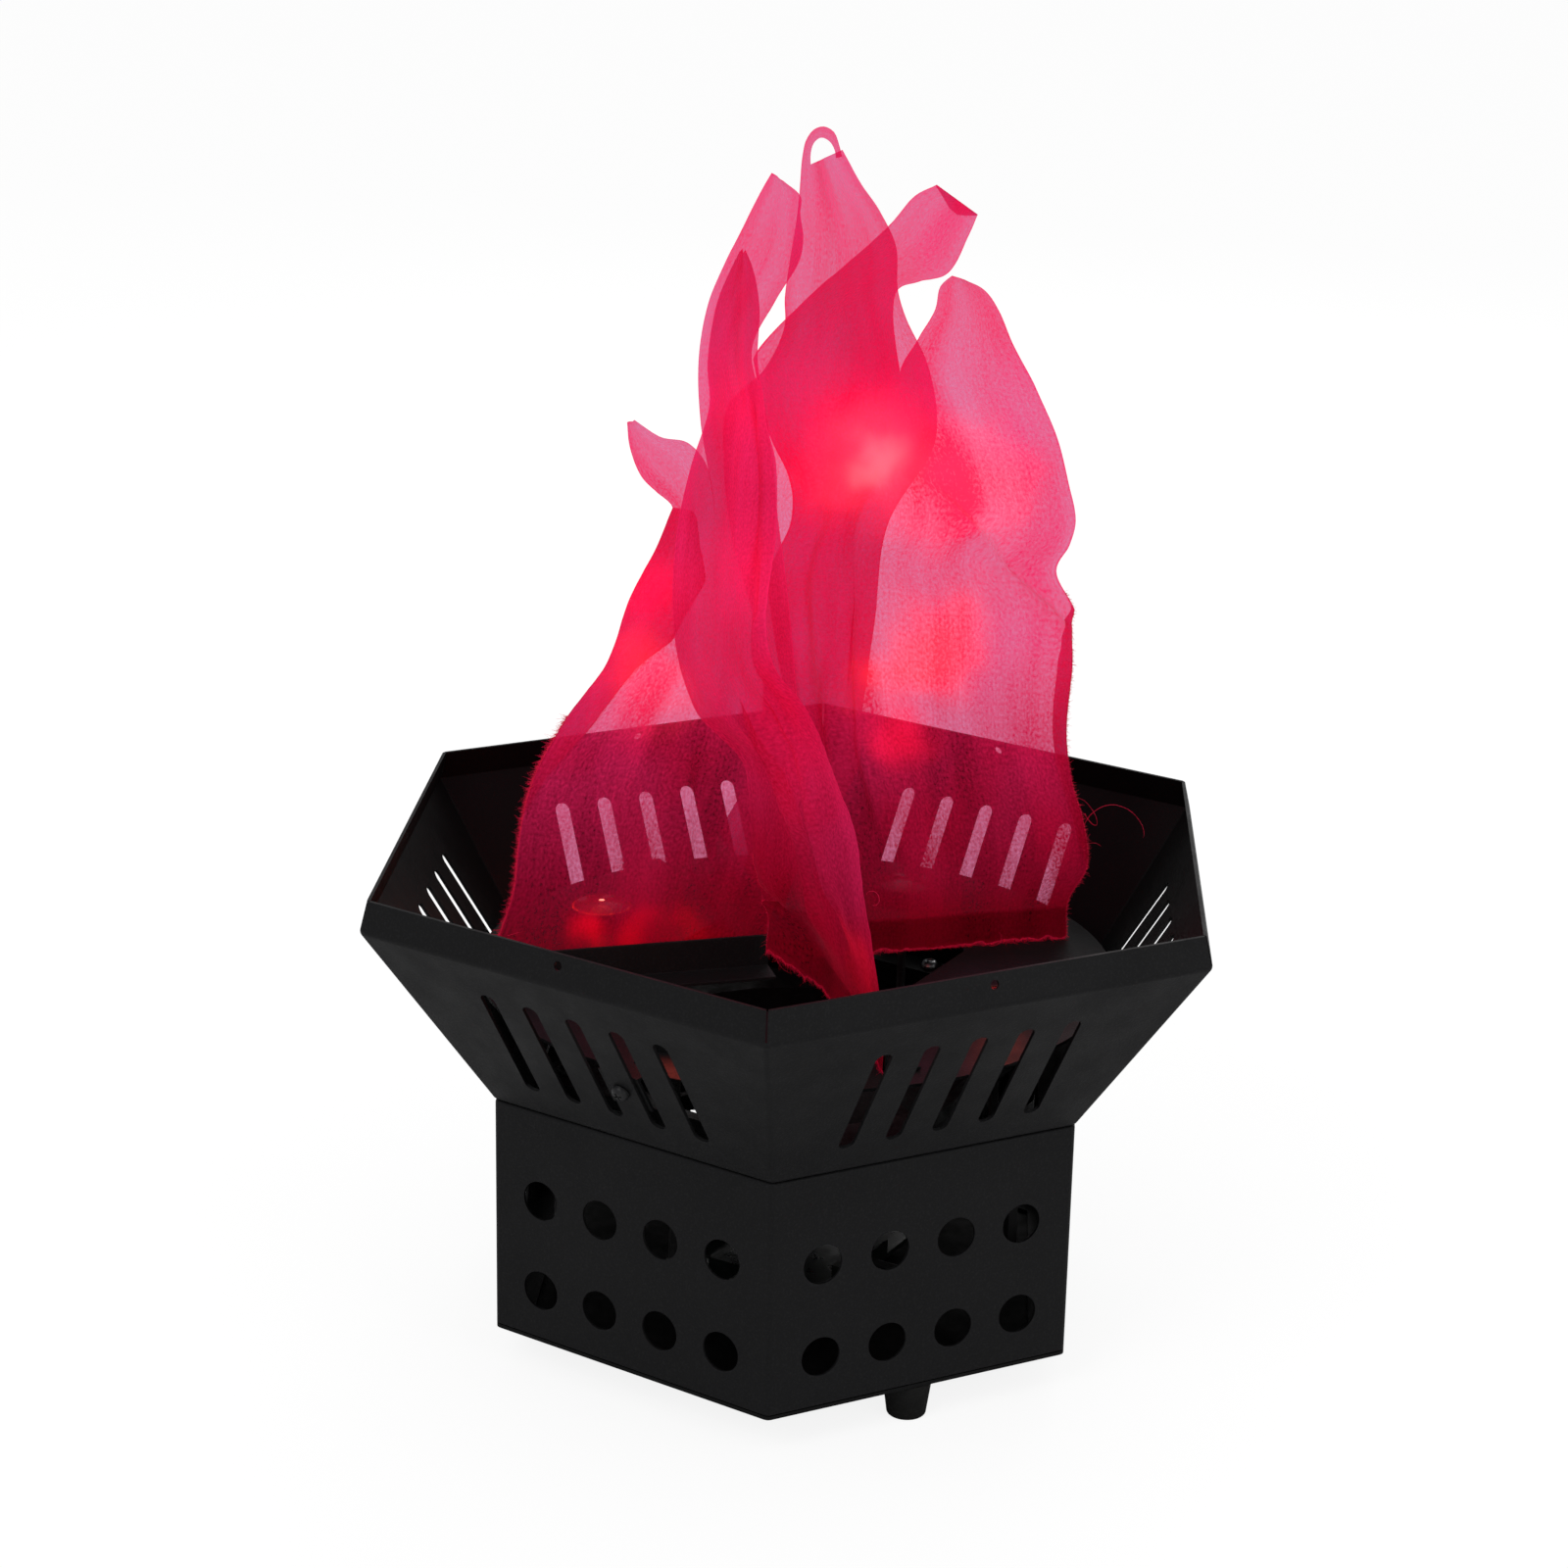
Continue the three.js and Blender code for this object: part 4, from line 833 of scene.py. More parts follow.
def angle_bar(name):
    """One bar along +X, with its screw hole."""
    rows = [[(x, across, height) for across, height in bar_section()] for x in (BAR_START, BAR_END)]
    bar = solid(name, loft(rows))
    hole = Shapes()
    cutter = bore(SHANK_HOLE, BAR_BOTTOM, BAR_BOTTOM + SHEET, 24)
    hole.add(cutter, Matrix.Translation((BAR_SCREW_RING, BAR_SCREW_ACROSS, 0)))
    return pierced(bar, hole)


for side, turn in zip(BAR_NAMES, quarter_turns()):
    bar = angle_bar(f"bar_{side}")
    bar.data.transform(Matrix.Rotation(turn, 4, "Z"))
    dress(bar, powder_coat, "black_paint", f"silk_arm_{side}")
print("bars:", len(BAR_NAMES))

# %% [markdown]
# Pan-head screws with a cross recess hold the basket, the deck, the bars, the fan and the feet. The
# head is a turned profile with a soft crown, and a tapered cross is cut into it. One maker function
# gives every length. A screw in a wall or a bar is placed by that wall's or bar's own frame, and the
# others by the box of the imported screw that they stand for.

# %% Screw finishes
def scratched_and_highlit_colour(base, pale, scale):
    """A colour function: small scratches of a paler tone over the base, and the same paler tone on
    pointed edges, partly wear and partly a painted edge highlight.
    """

    def colour(tree):
        scratches = stretch(tree, grain(tree, scale, 6.0, (1, 1, 4)), 0.55, 0.75, 0, 1)
        # Pointed edges are paled: partly wear, partly a painted highlight
        edge_wear_and_highlight = math_node(tree, "MAXIMUM", scratches, edge_share(tree))
        return mix_colours(tree, edge_wear_and_highlight, base, pale)

    return colour


def drifting_rough(low, high, scale):
    """A roughness function: a slow drift between two values."""
    return lambda tree: stretch(tree, grain(tree, scale, 4.0), 0.3, 0.7, low, high)


def plain_finish(name, tones, rough, depth, bump, colour=scratched_and_highlit_colour, **more):
    """A finish from two tones and their scale, a roughness range and its scale, and a fine grain."""

    def fine_grain(tree):
        return grain(tree, *bump)

    return surface(name, colour(*tones), drifting_rough(*rough), depth, fine_grain, **more)


black_oxide = plain_finish(
    "black_oxide",
    tones=((0.010, 0.010, 0.011, 1), (0.035, 0.035, 0.036, 1), 900),
    rough=(0.32, 0.5, 700),
    depth=0.00002,
    bump=(3000,),
    metallic=0.3,
    gloss=0.25,
)
zinc = plain_finish(
    "zinc_plate",
    tones=((0.5, 0.5, 0.52, 1), (0.72, 0.72, 0.7, 1), 500),
    rough=(0.25, 0.42, 400),
    depth=0.00002,
    bump=(1800, 3.0, (1, 1, 5)),
    metallic=1.0,
)

# %% Screws
HEAD_RADIUS = 2.9 * MM
HEAD_HEIGHT = 2.2 * MM
SHANK_RADIUS = 1.5 * MM
RECESS_SPAN = 3.4 * MM
RECESS_WIDTH = 0.85 * MM
RECESS_DEPTH = 1.3 * MM
RECESS_NARROW = 0.6
RECESS_OVERRUN = 0.3 * MM
THREAD_PITCH = 0.5 * MM
THREAD_DEPTH = 0.12 * MM
SCREW_FACETS = 40
WALL_SCREW_LENGTH = 7 * MM
BAR_SCREW_LENGTH = 5 * MM
HEAD_TURN = math.radians(35)  # from one wall screw's recess to the next


def cross_outline(share, height):
    """The twelve corners of a cross, narrowed by a share."""
    arm = RECESS_SPAN / 2 * share
    half = RECESS_WIDTH / 2 * share
    points = []
    for quarter in range(4):
        turn = Matrix.Rotation(quarter * math.pi / 2, 3, "Z")
        for x, y in ((half, -half), (arm, -half), (arm, half)):
            points.append(tuple(turn @ Vector((x, y, height))))
    return points


def screw(name, length):
    """A pan-head screw: the head's underside is at height 0 and the shank goes down."""
    steps = int(length / THREAD_PITCH * 2)
    profile = [(SHANK_RADIUS * 0.7, -length)]
    for step in range(steps):
        depth = THREAD_DEPTH if step % 2 else 0
        profile.append((SHANK_RADIUS - depth, -length + (step + 1) * THREAD_PITCH / 2 * 0.98))
    profile += [(SHANK_RADIUS, 0), (HEAD_RADIUS * 0.96, 0), (HEAD_RADIUS, 0.15 * MM)]
    for turn in np.linspace(0.12, 1, 9):
        reach = turn * math.pi / 2
        radius = HEAD_RADIUS * math.cos(reach) ** 0.6 + 0.001 * MM
        profile.append((radius, HEAD_HEIGHT * math.sin(reach) ** 0.9))
    made = lathe(name, profile, SCREW_FACETS)
    deep = HEAD_HEIGHT - RECESS_DEPTH
    floor_ring = cross_outline(RECESS_NARROW, deep)
    recess = solid("cross", loft([floor_ring, cross_outline(1, HEAD_HEIGHT + RECESS_OVERRUN)]))
    return smooth_faces(combine(made, recess, "DIFFERENCE"))


def place_screw(name, length, place, finish, slot, node):
    """A screw, moved to its place and dressed."""
    made = screw(name, length)
    made.data.transform(place)
    return dress(made, finish, slot, node)


for number, panel in enumerate(TAB_PANELS, start=1):
    spot = tab_screw_place(panel, SEAT) @ Matrix.Rotation(HEAD_TURN * number, 4, "Z")
    finish = (black_oxide, "black_screw", f"bowl_screw_{number}")
    place_screw(f"wall_screw_{number}", WALL_SCREW_LENGTH, spot, *finish)
for side, turn in zip(BAR_NAMES, quarter_turns()):
    spot = around(turn, BAR_SCREW_RING, BAR_SCREW_ACROSS, BAR_BOTTOM + SHEET + SEAT)
    finish = (black_oxide, "black_screw", f"arm_screw_{side}")
    place_screw(f"bar_screw_{side}", BAR_SCREW_LENGTH, spot, *finish)
for number, panel in enumerate(WAIST_PANELS, start=1):
    turn = panel_angle(panel)
    low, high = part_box(f"foot_screw_{number}")
    head_face = low.z + HEAD_HEIGHT
    upside = around(turn, FOOT_RING, 0, head_face) @ Matrix.Rotation(math.pi, 4, "X")
    reach = high.z - head_face
    place_screw(f"foot_bolt_{number}", reach, upside, zinc, "plated_steel", f"foot_screw_{number}")
    low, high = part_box(f"waist_screw_{number}")
    head_face = high.z - HEAD_HEIGHT
    upright = around(turn, WAIST_SCREW_RING, 0, head_face)
    reach = head_face - low.z
    place_screw(f"waist_bolt_{number}", reach, upright, zinc, "plated_steel", f"waist_screw_{number}")
for number in range(1, 5):
    low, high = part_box(f"fan_screw_{number}")
    head_face = high.z - HEAD_HEIGHT
    spot = Matrix.Translation(((low.x + high.x) / 2, (low.y + high.y) / 2, head_face))
    reach = head_face - low.z
    place_screw(f"fan_bolt_{number}", reach, spot, black_oxide, "black_screw", f"fan_screw_{number}")
print("screws placed")

# %% [markdown]
# Three tapered rubber feet carry the box. Moulded rubber is not smooth: it has a rounded lower edge
# where it wears, a dull skin with fine pits, and a paler tone on its edges, partly dust and partly a
# painted highlight.

# %% Rubber feet
rubber = plain_finish(
    "foot_rubber",
    tones=((0.005, 0.005, 0.005, 1), (0.016, 0.0155, 0.015, 1), 600),
    rough=(0.72, 0.9, 300),
    depth=0.00008,
    bump=(1400, 4.0),
    gloss=0.08,
)
FOOT_TOP = 7.5 * MM
FOOT_BOTTOM = 6.1 * MM
FOOT_BORE = 3.7 * MM
FOOT_FLOOR = 5 * MM
FOOT_EDGE = 0.9 * MM
FOOT_FACETS = 48
foot_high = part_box("rubber_foot_1")[1]


def rubber_foot(name):
    """A tapered foot with a rounded lower edge and a deep bore for its screw."""
    rings = [(FOOT_BORE, 0.3 * MM), (FOOT_BORE + 0.3 * MM, 0)]
    rings += [
        (FOOT_BOTTOM - FOOT_EDGE * (1 - math.sin(turn)), FOOT_EDGE * (1 - math.cos(turn)))
        for turn in np.linspace(0, math.pi / 2, 6)
    ]
    top = foot_high.z
    rings += [(FOOT_TOP, top - 0.5 * MM), (FOOT_TOP - 0.4 * MM, top), (SHANK_HOLE, top)]
    rings += [(SHANK_HOLE, FOOT_FLOOR), (FOOT_BORE, FOOT_FLOOR)]
    return smooth_faces(lathe(name, rings, FOOT_FACETS, closed=True))


for number, panel in enumerate(WAIST_PANELS, start=1):
    foot = rubber_foot(f"foot_{number}")
    foot.data.transform(around(panel_angle(panel), FOOT_RING))
    dress(foot, rubber, "foot_rubber", f"rubber_foot_{number}")
print("foot height:", round(foot_high.z / MM, 1), "mm")

# %% [markdown]
# A 120 mm fan stands under the deck's opening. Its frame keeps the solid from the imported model, with
# a moulded finish. The rotor is made again, because a real blade is a thin twisted wing with a
# round nose: a loft of blade sections from the hub to the tip, seven times round.

# %% Fan
moulding = plain_finish(
    "black_moulding",
    tones=((0.006, 0.006, 0.0065, 1), (0.015, 0.015, 0.0155, 1), 350),
    rough=(0.45, 0.65, 250),
    depth=0.00004,
    bump=(2200, 3.0),
    gloss=0.12,
)
rotor_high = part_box("fan_rotor")[1]
fan_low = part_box("fan_frame")[0]
HUB_RADIUS = 21 * MM
ROTOR_RADIUS = 55 * MM
BLADES = 7
ROOT_PITCH = math.radians(48)
TIP_PITCH = math.radians(24)
BLADE_CHORD = 25.5 * MM
BLADE_THICK = 1.5 * MM
CAMBER_SHARE = 0.06
HUB_EDGE = 1.6 * MM
HUB_FACETS = 72
HUB_BOTTOM = fan_low.z + 4.3 * MM


def blade_section(share, radius):
    """One closed section of a blade, bent round the hub at this radius."""
    pitch = ROOT_PITCH + (TIP_PITCH - ROOT_PITCH) * share
    middle = (HUB_BOTTOM + rotor_high.z) / 2
    chords = [0.5 - 0.5 * math.cos(turn) for turn in np.linspace(0, math.pi, 9)]
    upper = [(c - 0.5, 1) for c in chords]
    lower = [(c - 0.5, -1) for c in reversed(chords[1:-1])]
    ring = []
    for along, face in upper + lower:
        round_nose = math.sqrt(max(0.0, 1 - (2 * along) ** 4))
        thick = face * BLADE_THICK / 2 * round_nose
        camber = CAMBER_SHARE * BLADE_CHORD * (1 - (2 * along) ** 2)
        x = along * BLADE_CHORD
        y = thick + camber
        arc = (x * math.cos(pitch) - y * math.sin(pitch)) / radius
        height = middle + x * math.sin(pitch) + y * math.cos(pitch)
        height = min(max(height, HUB_BOTTOM + 0.4 * MM), rotor_high.z - 0.2 * MM)
        ring.append((radius * math.cos(arc), radius * math.sin(arc), height))
    return ring


def fan_rotor():
    """The hub with its rounded edge and dished top, joined to its blades."""
    top = rotor_high.z
    rings = [(HUB_RADIUS * 0.4, HUB_BOTTOM), (HUB_RADIUS, HUB_BOTTOM)]
    rings += rounded_top(HUB_RADIUS, top, HUB_EDGE, 6)
    rings += [(HUB_RADIUS * 0.62, top), (HUB_RADIUS * 0.6, top - 0.4 * MM)]
    rings += [(HUB_RADIUS * 0.1, top - 0.4 * MM)]
    rotor = lathe("rotor", rings, HUB_FACETS)
    blades = Shapes()
    for blade in range(BLADES):
        shares = np.linspace(0, 1, 10)
        start = HUB_RADIUS - 0.8 * MM
        sections = [blade_section(s, start + (ROTOR_RADIUS - start) * s) for s in shares]
        blades.add(loft(sections), Matrix.Rotation(math.tau * blade / BLADES, 4, "Z"))
    return smooth_faces(combine(rotor, blades.thing("blades"), "UNION"))


dress(fan_rotor(), moulding, "black_moulding", "fan_rotor", body="fan_rotor")
print("fan height above ground:", round(fan_low.z / MM, 1), "mm")

# %% [markdown]
# Each lamp is a clear lens in a black holder, with a bright chip behind it. The chip's light has to
# read through the cloth, so the lens glows by itself: a hot spot in the middle and a thin bright
# line where the rim catches the light. Both come from the distance to the lens's own axis. The lamp
# under the left silk glows strongly. The others show little or no glow, but a small real lamp over
# each still colours the deck and the cloth.

# %% Lens lights
LENS_RADIUS = 9.5 * MM
LENS_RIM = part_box("led_holder_1")[1].z
LENS_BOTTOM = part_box("led_lens_1")[0].z
LENS_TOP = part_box("led_lens_1")[1].z
HOLDER_OUTSIDE = 10.9 * MM
HOLDER_INSIDE = 9.8 * MM
LENS_BODY = (0.10, 0.02, 0.02, 1)
LAMP_RED = (1.0, 0.05, 0.02, 1)
LAMP_HOT = (1.0, 0.6, 0.25, 1)
HOT_REACH = 1.1 * MM
HOT_STRENGTH = 13
RIM_START = 8.7 * MM
RIM_STRENGTH = 1.6
BODY_STRENGTH = 0.10
LAMP_SHARES = (0.0, 1.0, 0.04, 0.04)  # of the glow in each lens
LAMP_LEVELS = (0.15, 1.0, 0.6, 0.6)  # of the power of the lamp over it
LENS_ROUGH = 0.2
LENS_GLOSS = 0.15
LENS_FACETS = 64
LENS_STEPS = 24


def lens_finish(name, centre, share):
    """Clear plastic that glows in its middle and along its rim, measured from the lens's axis."""
    material, tree, output = new_material(name)
    distance = vector_math(tree, "LENGTH", flat_place(tree, centre)).outputs["Value"]
    spot = stretch(tree, distance, HOT_REACH * 0.4, HOT_REACH, HOT_STRENGTH, 0)
    rim = stretch(tree, distance, RIM_START, LENS_RADIUS, 0, RIM_STRENGTH)
    uneven = stretch(tree, grain(tree, 260, 2.0), 0.3, 0.7, 0, BODY_STRENGTH)
    light = add_up(tree, spot, rim, uneven)
    colour = mix_colours(tree, math_node(tree, "MINIMUM", spot, 1), LAMP_RED, LAMP_HOT)
    made = add_node(
        tree,
        "ShaderNodeBsdfPrincipled",
        Base_Color=LENS_BODY,
        Emission_Color=colour,
        Emission_Strength=times(tree, light, share),
    )
    made.inputs["Roughness"].default_value = LENS_ROUGH
    made.inputs["Specular IOR Level"].default_value = LENS_GLOSS
    tree.links.new(made.outputs[0], output.inputs["Surface"])
    return material


def lens_body(name):
    """A shallow dome with fine rings moulded in it."""
    rings = [(LENS_RADIUS - 0.3 * MM, LENS_BOTTOM), (LENS_RADIUS, LENS_BOTTOM + 0.3 * MM)]
    rings += [(LENS_RADIUS, LENS_RIM - 0.2 * MM), (LENS_RADIUS - 0.3 * MM, LENS_RIM)]
    for step in range(1, LENS_STEPS):
        share = 1 - step / LENS_STEPS
        ripple = 0.12 * MM * (step % 2)
        rise = (LENS_TOP - LENS_RIM) * (1 - share**2)
        rings.append(((LENS_RADIUS - 0.5 * MM) * share, LENS_RIM + rise - ripple * share))
    made = lathe(name, rings, LENS_FACETS)
    made.data.shade_smooth()
    return made


def lens_holder(name):
    """A round cup with a ledge that the lens sits on."""
    floor_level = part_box("led_holder_1")[0].z
    ledge = HOLDER_INSIDE - 1.4 * MM
    rings = [(ledge, floor_level), (HOLDER_OUTSIDE, floor_level), (HOLDER_OUTSIDE, LENS_RIM - 0.4 * MM)]
    rings += [(HOLDER_OUTSIDE - 0.3 * MM, LENS_RIM), (HOLDER_INSIDE + 0.2 * MM, LENS_RIM)]
    rings += [(HOLDER_INSIDE, LENS_RIM - 0.3 * MM), (HOLDER_INSIDE, LENS_BOTTOM - SEAT)]
    rings += [(ledge, LENS_BOTTOM - SEAT)]
    return smooth_faces(lathe(name, rings, LENS_FACETS, closed=True))


def lamp_light(name, place, power):
    """A small real lamp over a lens, so that the deck, walls and cloth catch its red."""
    lamp = bpy.data.objects.new(name, bpy.data.lights.new(name, "POINT"))
    lamp.data.energy = power
    lamp.data.color = LAMP_LIGHT
    lamp.data.shadow_soft_size = LAMP_CHIP
    lamp.location = place
    bpy.context.scene.collection.objects.link(lamp)


LAMP_LIGHT = (1.0, 0.12, 0.06)
LAMP_CHIP = 6 * MM
LAMP_POWER = 0.02  # watts
LAMP_RISE = 9 * MM
lamps = zip(quarter_turns(math.pi / 4), LAMP_SHARES, LAMP_LEVELS)
for number, (turn, share, level) in enumerate(lamps, start=1):
    centre = (LENS_RING * math.cos(turn), LENS_RING * math.sin(turn))
    shift = Matrix.Translation((*centre, 0))
    glass = lens_body(f"lens_{number}")
    glass.data.transform(shift)
    dress(glass, lens_finish(f"lamp_lens_{number}", centre, share), "clear_lens", f"led_lens_{number}")
    holder = lens_holder(f"holder_{number}")
    holder.data.transform(shift)
    dress(holder, moulding, "black_moulding", f"led_holder_{number}")
    lamp_light(f"lamp_{number}", (*centre, LENS_TOP + LAMP_RISE), LAMP_POWER * level)
print("lenses at", round(LENS_RING / MM), "mm from the middle")

# %% [markdown]
# The power inlet on a back wall is a round panel socket. From behind it is a small turned flange
# with a deep bore and a bright centre pin.

# %% Power inlet
JACK_FLANGE = 7 * MM
JACK_FRONT = 2.3 * MM
JACK_BUSH = 5.2 * MM
JACK_DEPTH = 13 * MM
JACK_BORE = 3.2 * MM
JACK_BORE_DEPTH = 9 * MM
PIN_RADIUS = 1 * MM
PIN_SHORT = 1 * MM
JACK_FACETS = 56
PIN_FACETS = 24


def power_inlet():
    """The flange and bush, with a blind bore."""
    front = JACK_FRONT
    rings = [(JACK_BUSH, -JACK_DEPTH), (JACK_BUSH, SEAT), (JACK_FLANGE, SEAT)]
    rings += [(JACK_FLANGE, front - 0.6 * MM)]
    rings += [(JACK_FLANGE - 0.6 * MM, front), (JACK_BORE + 0.4 * MM, front)]
    rings += [(JACK_BORE, front - 0.4 * MM), (JACK_BORE, front - JACK_BORE_DEPTH)]
    return smooth_faces(lathe("inlet", rings, JACK_FACETS))


def inlet_pin():
    """The centre pin, a little shorter than the bore."""
    top = JACK_FRONT - PIN_SHORT
    floor_level = JACK_FRONT - JACK_BORE_DEPTH
    rings = [(PIN_RADIUS, floor_level), (PIN_RADIUS, top - 0.5 * MM), (PIN_RADIUS * 0.6, top)]
    return smooth_faces(lathe("inlet_pin", rings, PIN_FACETS))


inlet, pin = power_inlet(), inlet_pin()
for made in (inlet, pin):
    made.data.transform(INLET_FRAME)
dress(inlet, moulding, "black_moulding", "dc_jack")
dress(pin, zinc, "plated_steel")
print("inlet height:", round((BOX_UNDERSIDE + JACK_HEIGHT) / MM, 1), "mm")

# %% [markdown]
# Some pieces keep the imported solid, because they hardly show: the bottom plate, the fan's frame and
# posts, the boards, the leads and the inlet's nut. They still get a finish of their own.

# %% Boards and leads
def board_colour(mask, copper, scale):
    """Solder mask with the paler lines of the tracks under it."""

    def colour(tree):
        cells = add_node(tree, "ShaderNodeTexVoronoi", Vector=own_place(tree), Scale=scale)
        cells.distance = "MANHATTAN"
        tracks = stretch(tree, cells.outputs["Distance"], 0.28, 0.32, 0, 1)
        return mix_colours(tree, tracks, mask, copper)

    return colour


dark_board = plain_finish(
    "driver_board_black",
    tones=((0.004, 0.006, 0.005, 1), (0.009, 0.012, 0.010, 1), 260),
    rough=(0.25, 0.4, 200),
    depth=0.00003,
    bump=(900,),
    colour=board_colour,
)
white_board = plain_finish(
    "lamp_board_white",
    tones=((0.72, 0.72, 0.68, 1), (0.6, 0.6, 0.57, 1), 320),
    rough=(0.35, 0.5, 200),
    depth=0.00002,
    bump=(1200,),
    colour=board_colour,
)
lead_skin = plain_finish(
    "lead_skin",
    tones=((0.012, 0.012, 0.012, 1), (0.03, 0.03, 0.03, 1), 300),
    rough=(0.5, 0.65, 200),
    depth=0.00003,
    bump=(1600,),
    gloss=0.3,
)
# A much darker black than the box's coat, so that the bottom plate's edge shows as a dark line under the
# box
plate_coat = plain_finish(
    "plate_coat",
    tones=((0.0016, 0.0016, 0.0017, 1), (0.003, 0.003, 0.0032, 1), 300),
    rough=(0.6, 0.75, 200),
    depth=0.00004,
    bump=(1500,),
    gloss=0.12,
)


def finish_node(name, material):
    """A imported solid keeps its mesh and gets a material."""
    solid = nodes[name]
    if not solid.material_slots:
        solid.data.materials.append(material)
    for material_slot in solid.material_slots:
        material_slot.material = material


KEPT = {"bottom_plate": plate_coat, "fan_frame": moulding, "driver_board": dark_board, "jack_nut": zinc}
KEPT |= {"fan_lead": lead_skin, "jack_lead": lead_skin}
for number in range(1, 5):
    KEPT |= {f"fan_standoff_{number}": black_oxide, f"led_board_{number}": white_board}
    KEPT[f"led_lead_{number}"] = lead_skin
for name, material in KEPT.items():
    finish_node(name, material)
print("packed solids kept:", len(KEPT))

# %% [markdown]
# The silk is a sheer crepe. Sheer cloth does three things at once: some light goes straight through
# between the threads and is tinted by them, some is scattered back from the front, and some comes
# through from behind. So the finish mixes a tinted Transparent shader with Diffuse and Translucent
# ones. One layer over white is a dusty pink, two are a strong magenta, and over black it is a deep
# wine red. Crepe grain and long thread streaks vary how open the weave is, and a soft noise adds
# painted fold shading to it. A cut edge, where threads bunch, is nearly closed. Low in the basket
# the cloth is painted denser and deeper, as painted shade. The lamps' red light on the cloth is
# painted as emission, in soft pools and an even glow above the basket, and where that painted light
# is strong the weave is also more closed, so less of what lies behind the cloth shows.

# %% Silk finish
SILK_BODY = (0.95, 0.013, 0.11, 1)
SILK_ROSE = (0.95, 0.030, 0.19, 1)
# Painted shade: the deeper body colour low in the basket
SILK_SHADED = (0.41, 0.003, 0.024, 1)
SILK_TINT = (0.64, 0.222, 0.40, 1)
SILK_COVER = 0.55
GRAIN_COVER = 0.27
# Painted fold shading: how far a soft noise along the cloth closes or opens the weave
FOLD_SHADE_COVER = 0.2
EDGE_COVER = 0.3
# Painted shade: the extra cover low in the basket, which fades out between two heights in metres
LOW_SHADE_COVER = 0.24
LOW_SHADE_HEIGHTS = (0.130, 0.215)
CREPE_SCALE = 1150  # per metre of cloth
# How much the painted lamp light closes the weave
GLOW_COVER = 0.62
STREAK_SCALE = 420
LENGTHWISE_SHARE = 0.4
CROSSWISE_SHARE = 0.12
GRAIN_RANGE = (0.46, 1.06)
FOLD_SHADE_SCALE = 26
ROSE_SCALE = 19
# Pools of the lamps' red light, painted onto the cloth as emission
GLOWS = (
    # place in mm, reach in mm, colour, strength
    ((20, 11, 275), 15, (1.0, 0.42, 0.40, 1), 0.26),
    ((18.5, 11, 275), 33, (1.0, 0.08, 0.12, 1), 0.48),
    ((9, 12, 283), 46, (1.0, 0.0, 0.03, 1), 0.20),
    ((49, 15, 270), 33, (1.0, 0.03, 0.02, 1), 0.58),
    ((63, 17, 276), 20, (1.0, 0.06, 0.05, 1), 0.16),
    ((39, 14, 219), 30, (1.0, 0.07, 0.04, 1), 0.56),
    ((27, 11, 205), 19, (1.0, 0.04, 0.0, 1), 0.32),
    ((47, 15, 206), 19, (1.0, 0.04, 0.0, 1), 0.24),
    ((30, 11, 188), 20, (1.0, 0.0, 0.0, 1), 0.34),
    ((-45, -20, 213), 26, (1.0, 0.05, 0.05, 1), 0.36),
    ((-47, -18, 240), 24, (1.0, 0.0, 0.03, 1), 0.22),
    ((-14, -24, 250), 32, (0.9, 0.0, 0.02, 1), 0.16),
    ((-20, -30, 300), 34, (0.9, 0.0, 0.02, 1), 0.18),
    ((6, -45, 193), 30, (0.9, 0.0, 0.02, 1), 0.07),
    ((16, -70, 144), 28, (1.0, 0.0, 0.0, 1), 0.20),
    ((-64, -22, 135), 14, (1.0, 0.0, 0.0, 1), 0.34),
    ((-46, -17, 134), 14, (1.0, 0.0, 0.0, 1), 0.20),
    ((-31, -12, 132), 13, (1.0, 0.0, 0.0, 1), 0.12),
)
GLOW_FALL = 1.5
# The even red light above the basket, painted as emission
LIT_COLOUR = (1, 0, 0.03, 1)
LIT_HEIGHTS = (0.165, 0.215)
LIT_STRENGTH = 0.075
GLOW_WOBBLE = 0.026
WOBBLE_SCALE = 42
SHEEN_COLOUR = (0.95, 0.3, 0.45, 1)
SHEEN_ROUGH = 0.35
SHEEN_SHARE = 0.06
THROUGH_SHARE = 0.42  # of the light that comes through from behind
CREPE_DEPTH = 0.00014


def glow_from(tree, place, reach, colour, strength, wobble):
    """Painted light: an emission round one place, with its edge broken up by wobble, and how strong it
    is.
    """
    away = vector_math(tree, "DISTANCE", wobble, Vector(place) * MM).outputs["Value"]
    near = tree.nodes.new("ShaderNodeMapRange")
    near.interpolation_type = "SMOOTHERSTEP"
    tree.links.new(away, near.inputs[0])
    for socket, value in zip(near.inputs[1:5], (0, reach * MM, 1, 0)):
        socket.default_value = value
    fallen = math_node(tree, "POWER", near.outputs[0], GLOW_FALL)
    light = times(tree, fallen, strength)
    return add_node(tree, "ShaderNodeEmission", Color=colour, Strength=light).outputs[0], light


def woven_noise(tree, scale, squeeze, detail):
    """Noise laid out on the flat cloth, squeezed along its width or its length."""
    flat = tree.nodes.new("ShaderNodeUVMap")
    flat.uv_map = "flat"
    mapping = add_node(tree, "ShaderNodeMapping", Vector=flat.outputs[0], Scale=squeeze)
    made = add_node(tree, "ShaderNodeTexNoise", Vector=mapping.outputs[0], Scale=scale, Detail=detail)
    return made.outputs["Fac"]


def height_share(tree, place, low, high):
    """0 below the first height, 1 above the second."""
    parts = tree.nodes.new("ShaderNodeSeparateXYZ")
    tree.links.new(place, parts.inputs[0])
    return stretch(tree, parts.outputs["Z"], low, high, 0, 1)


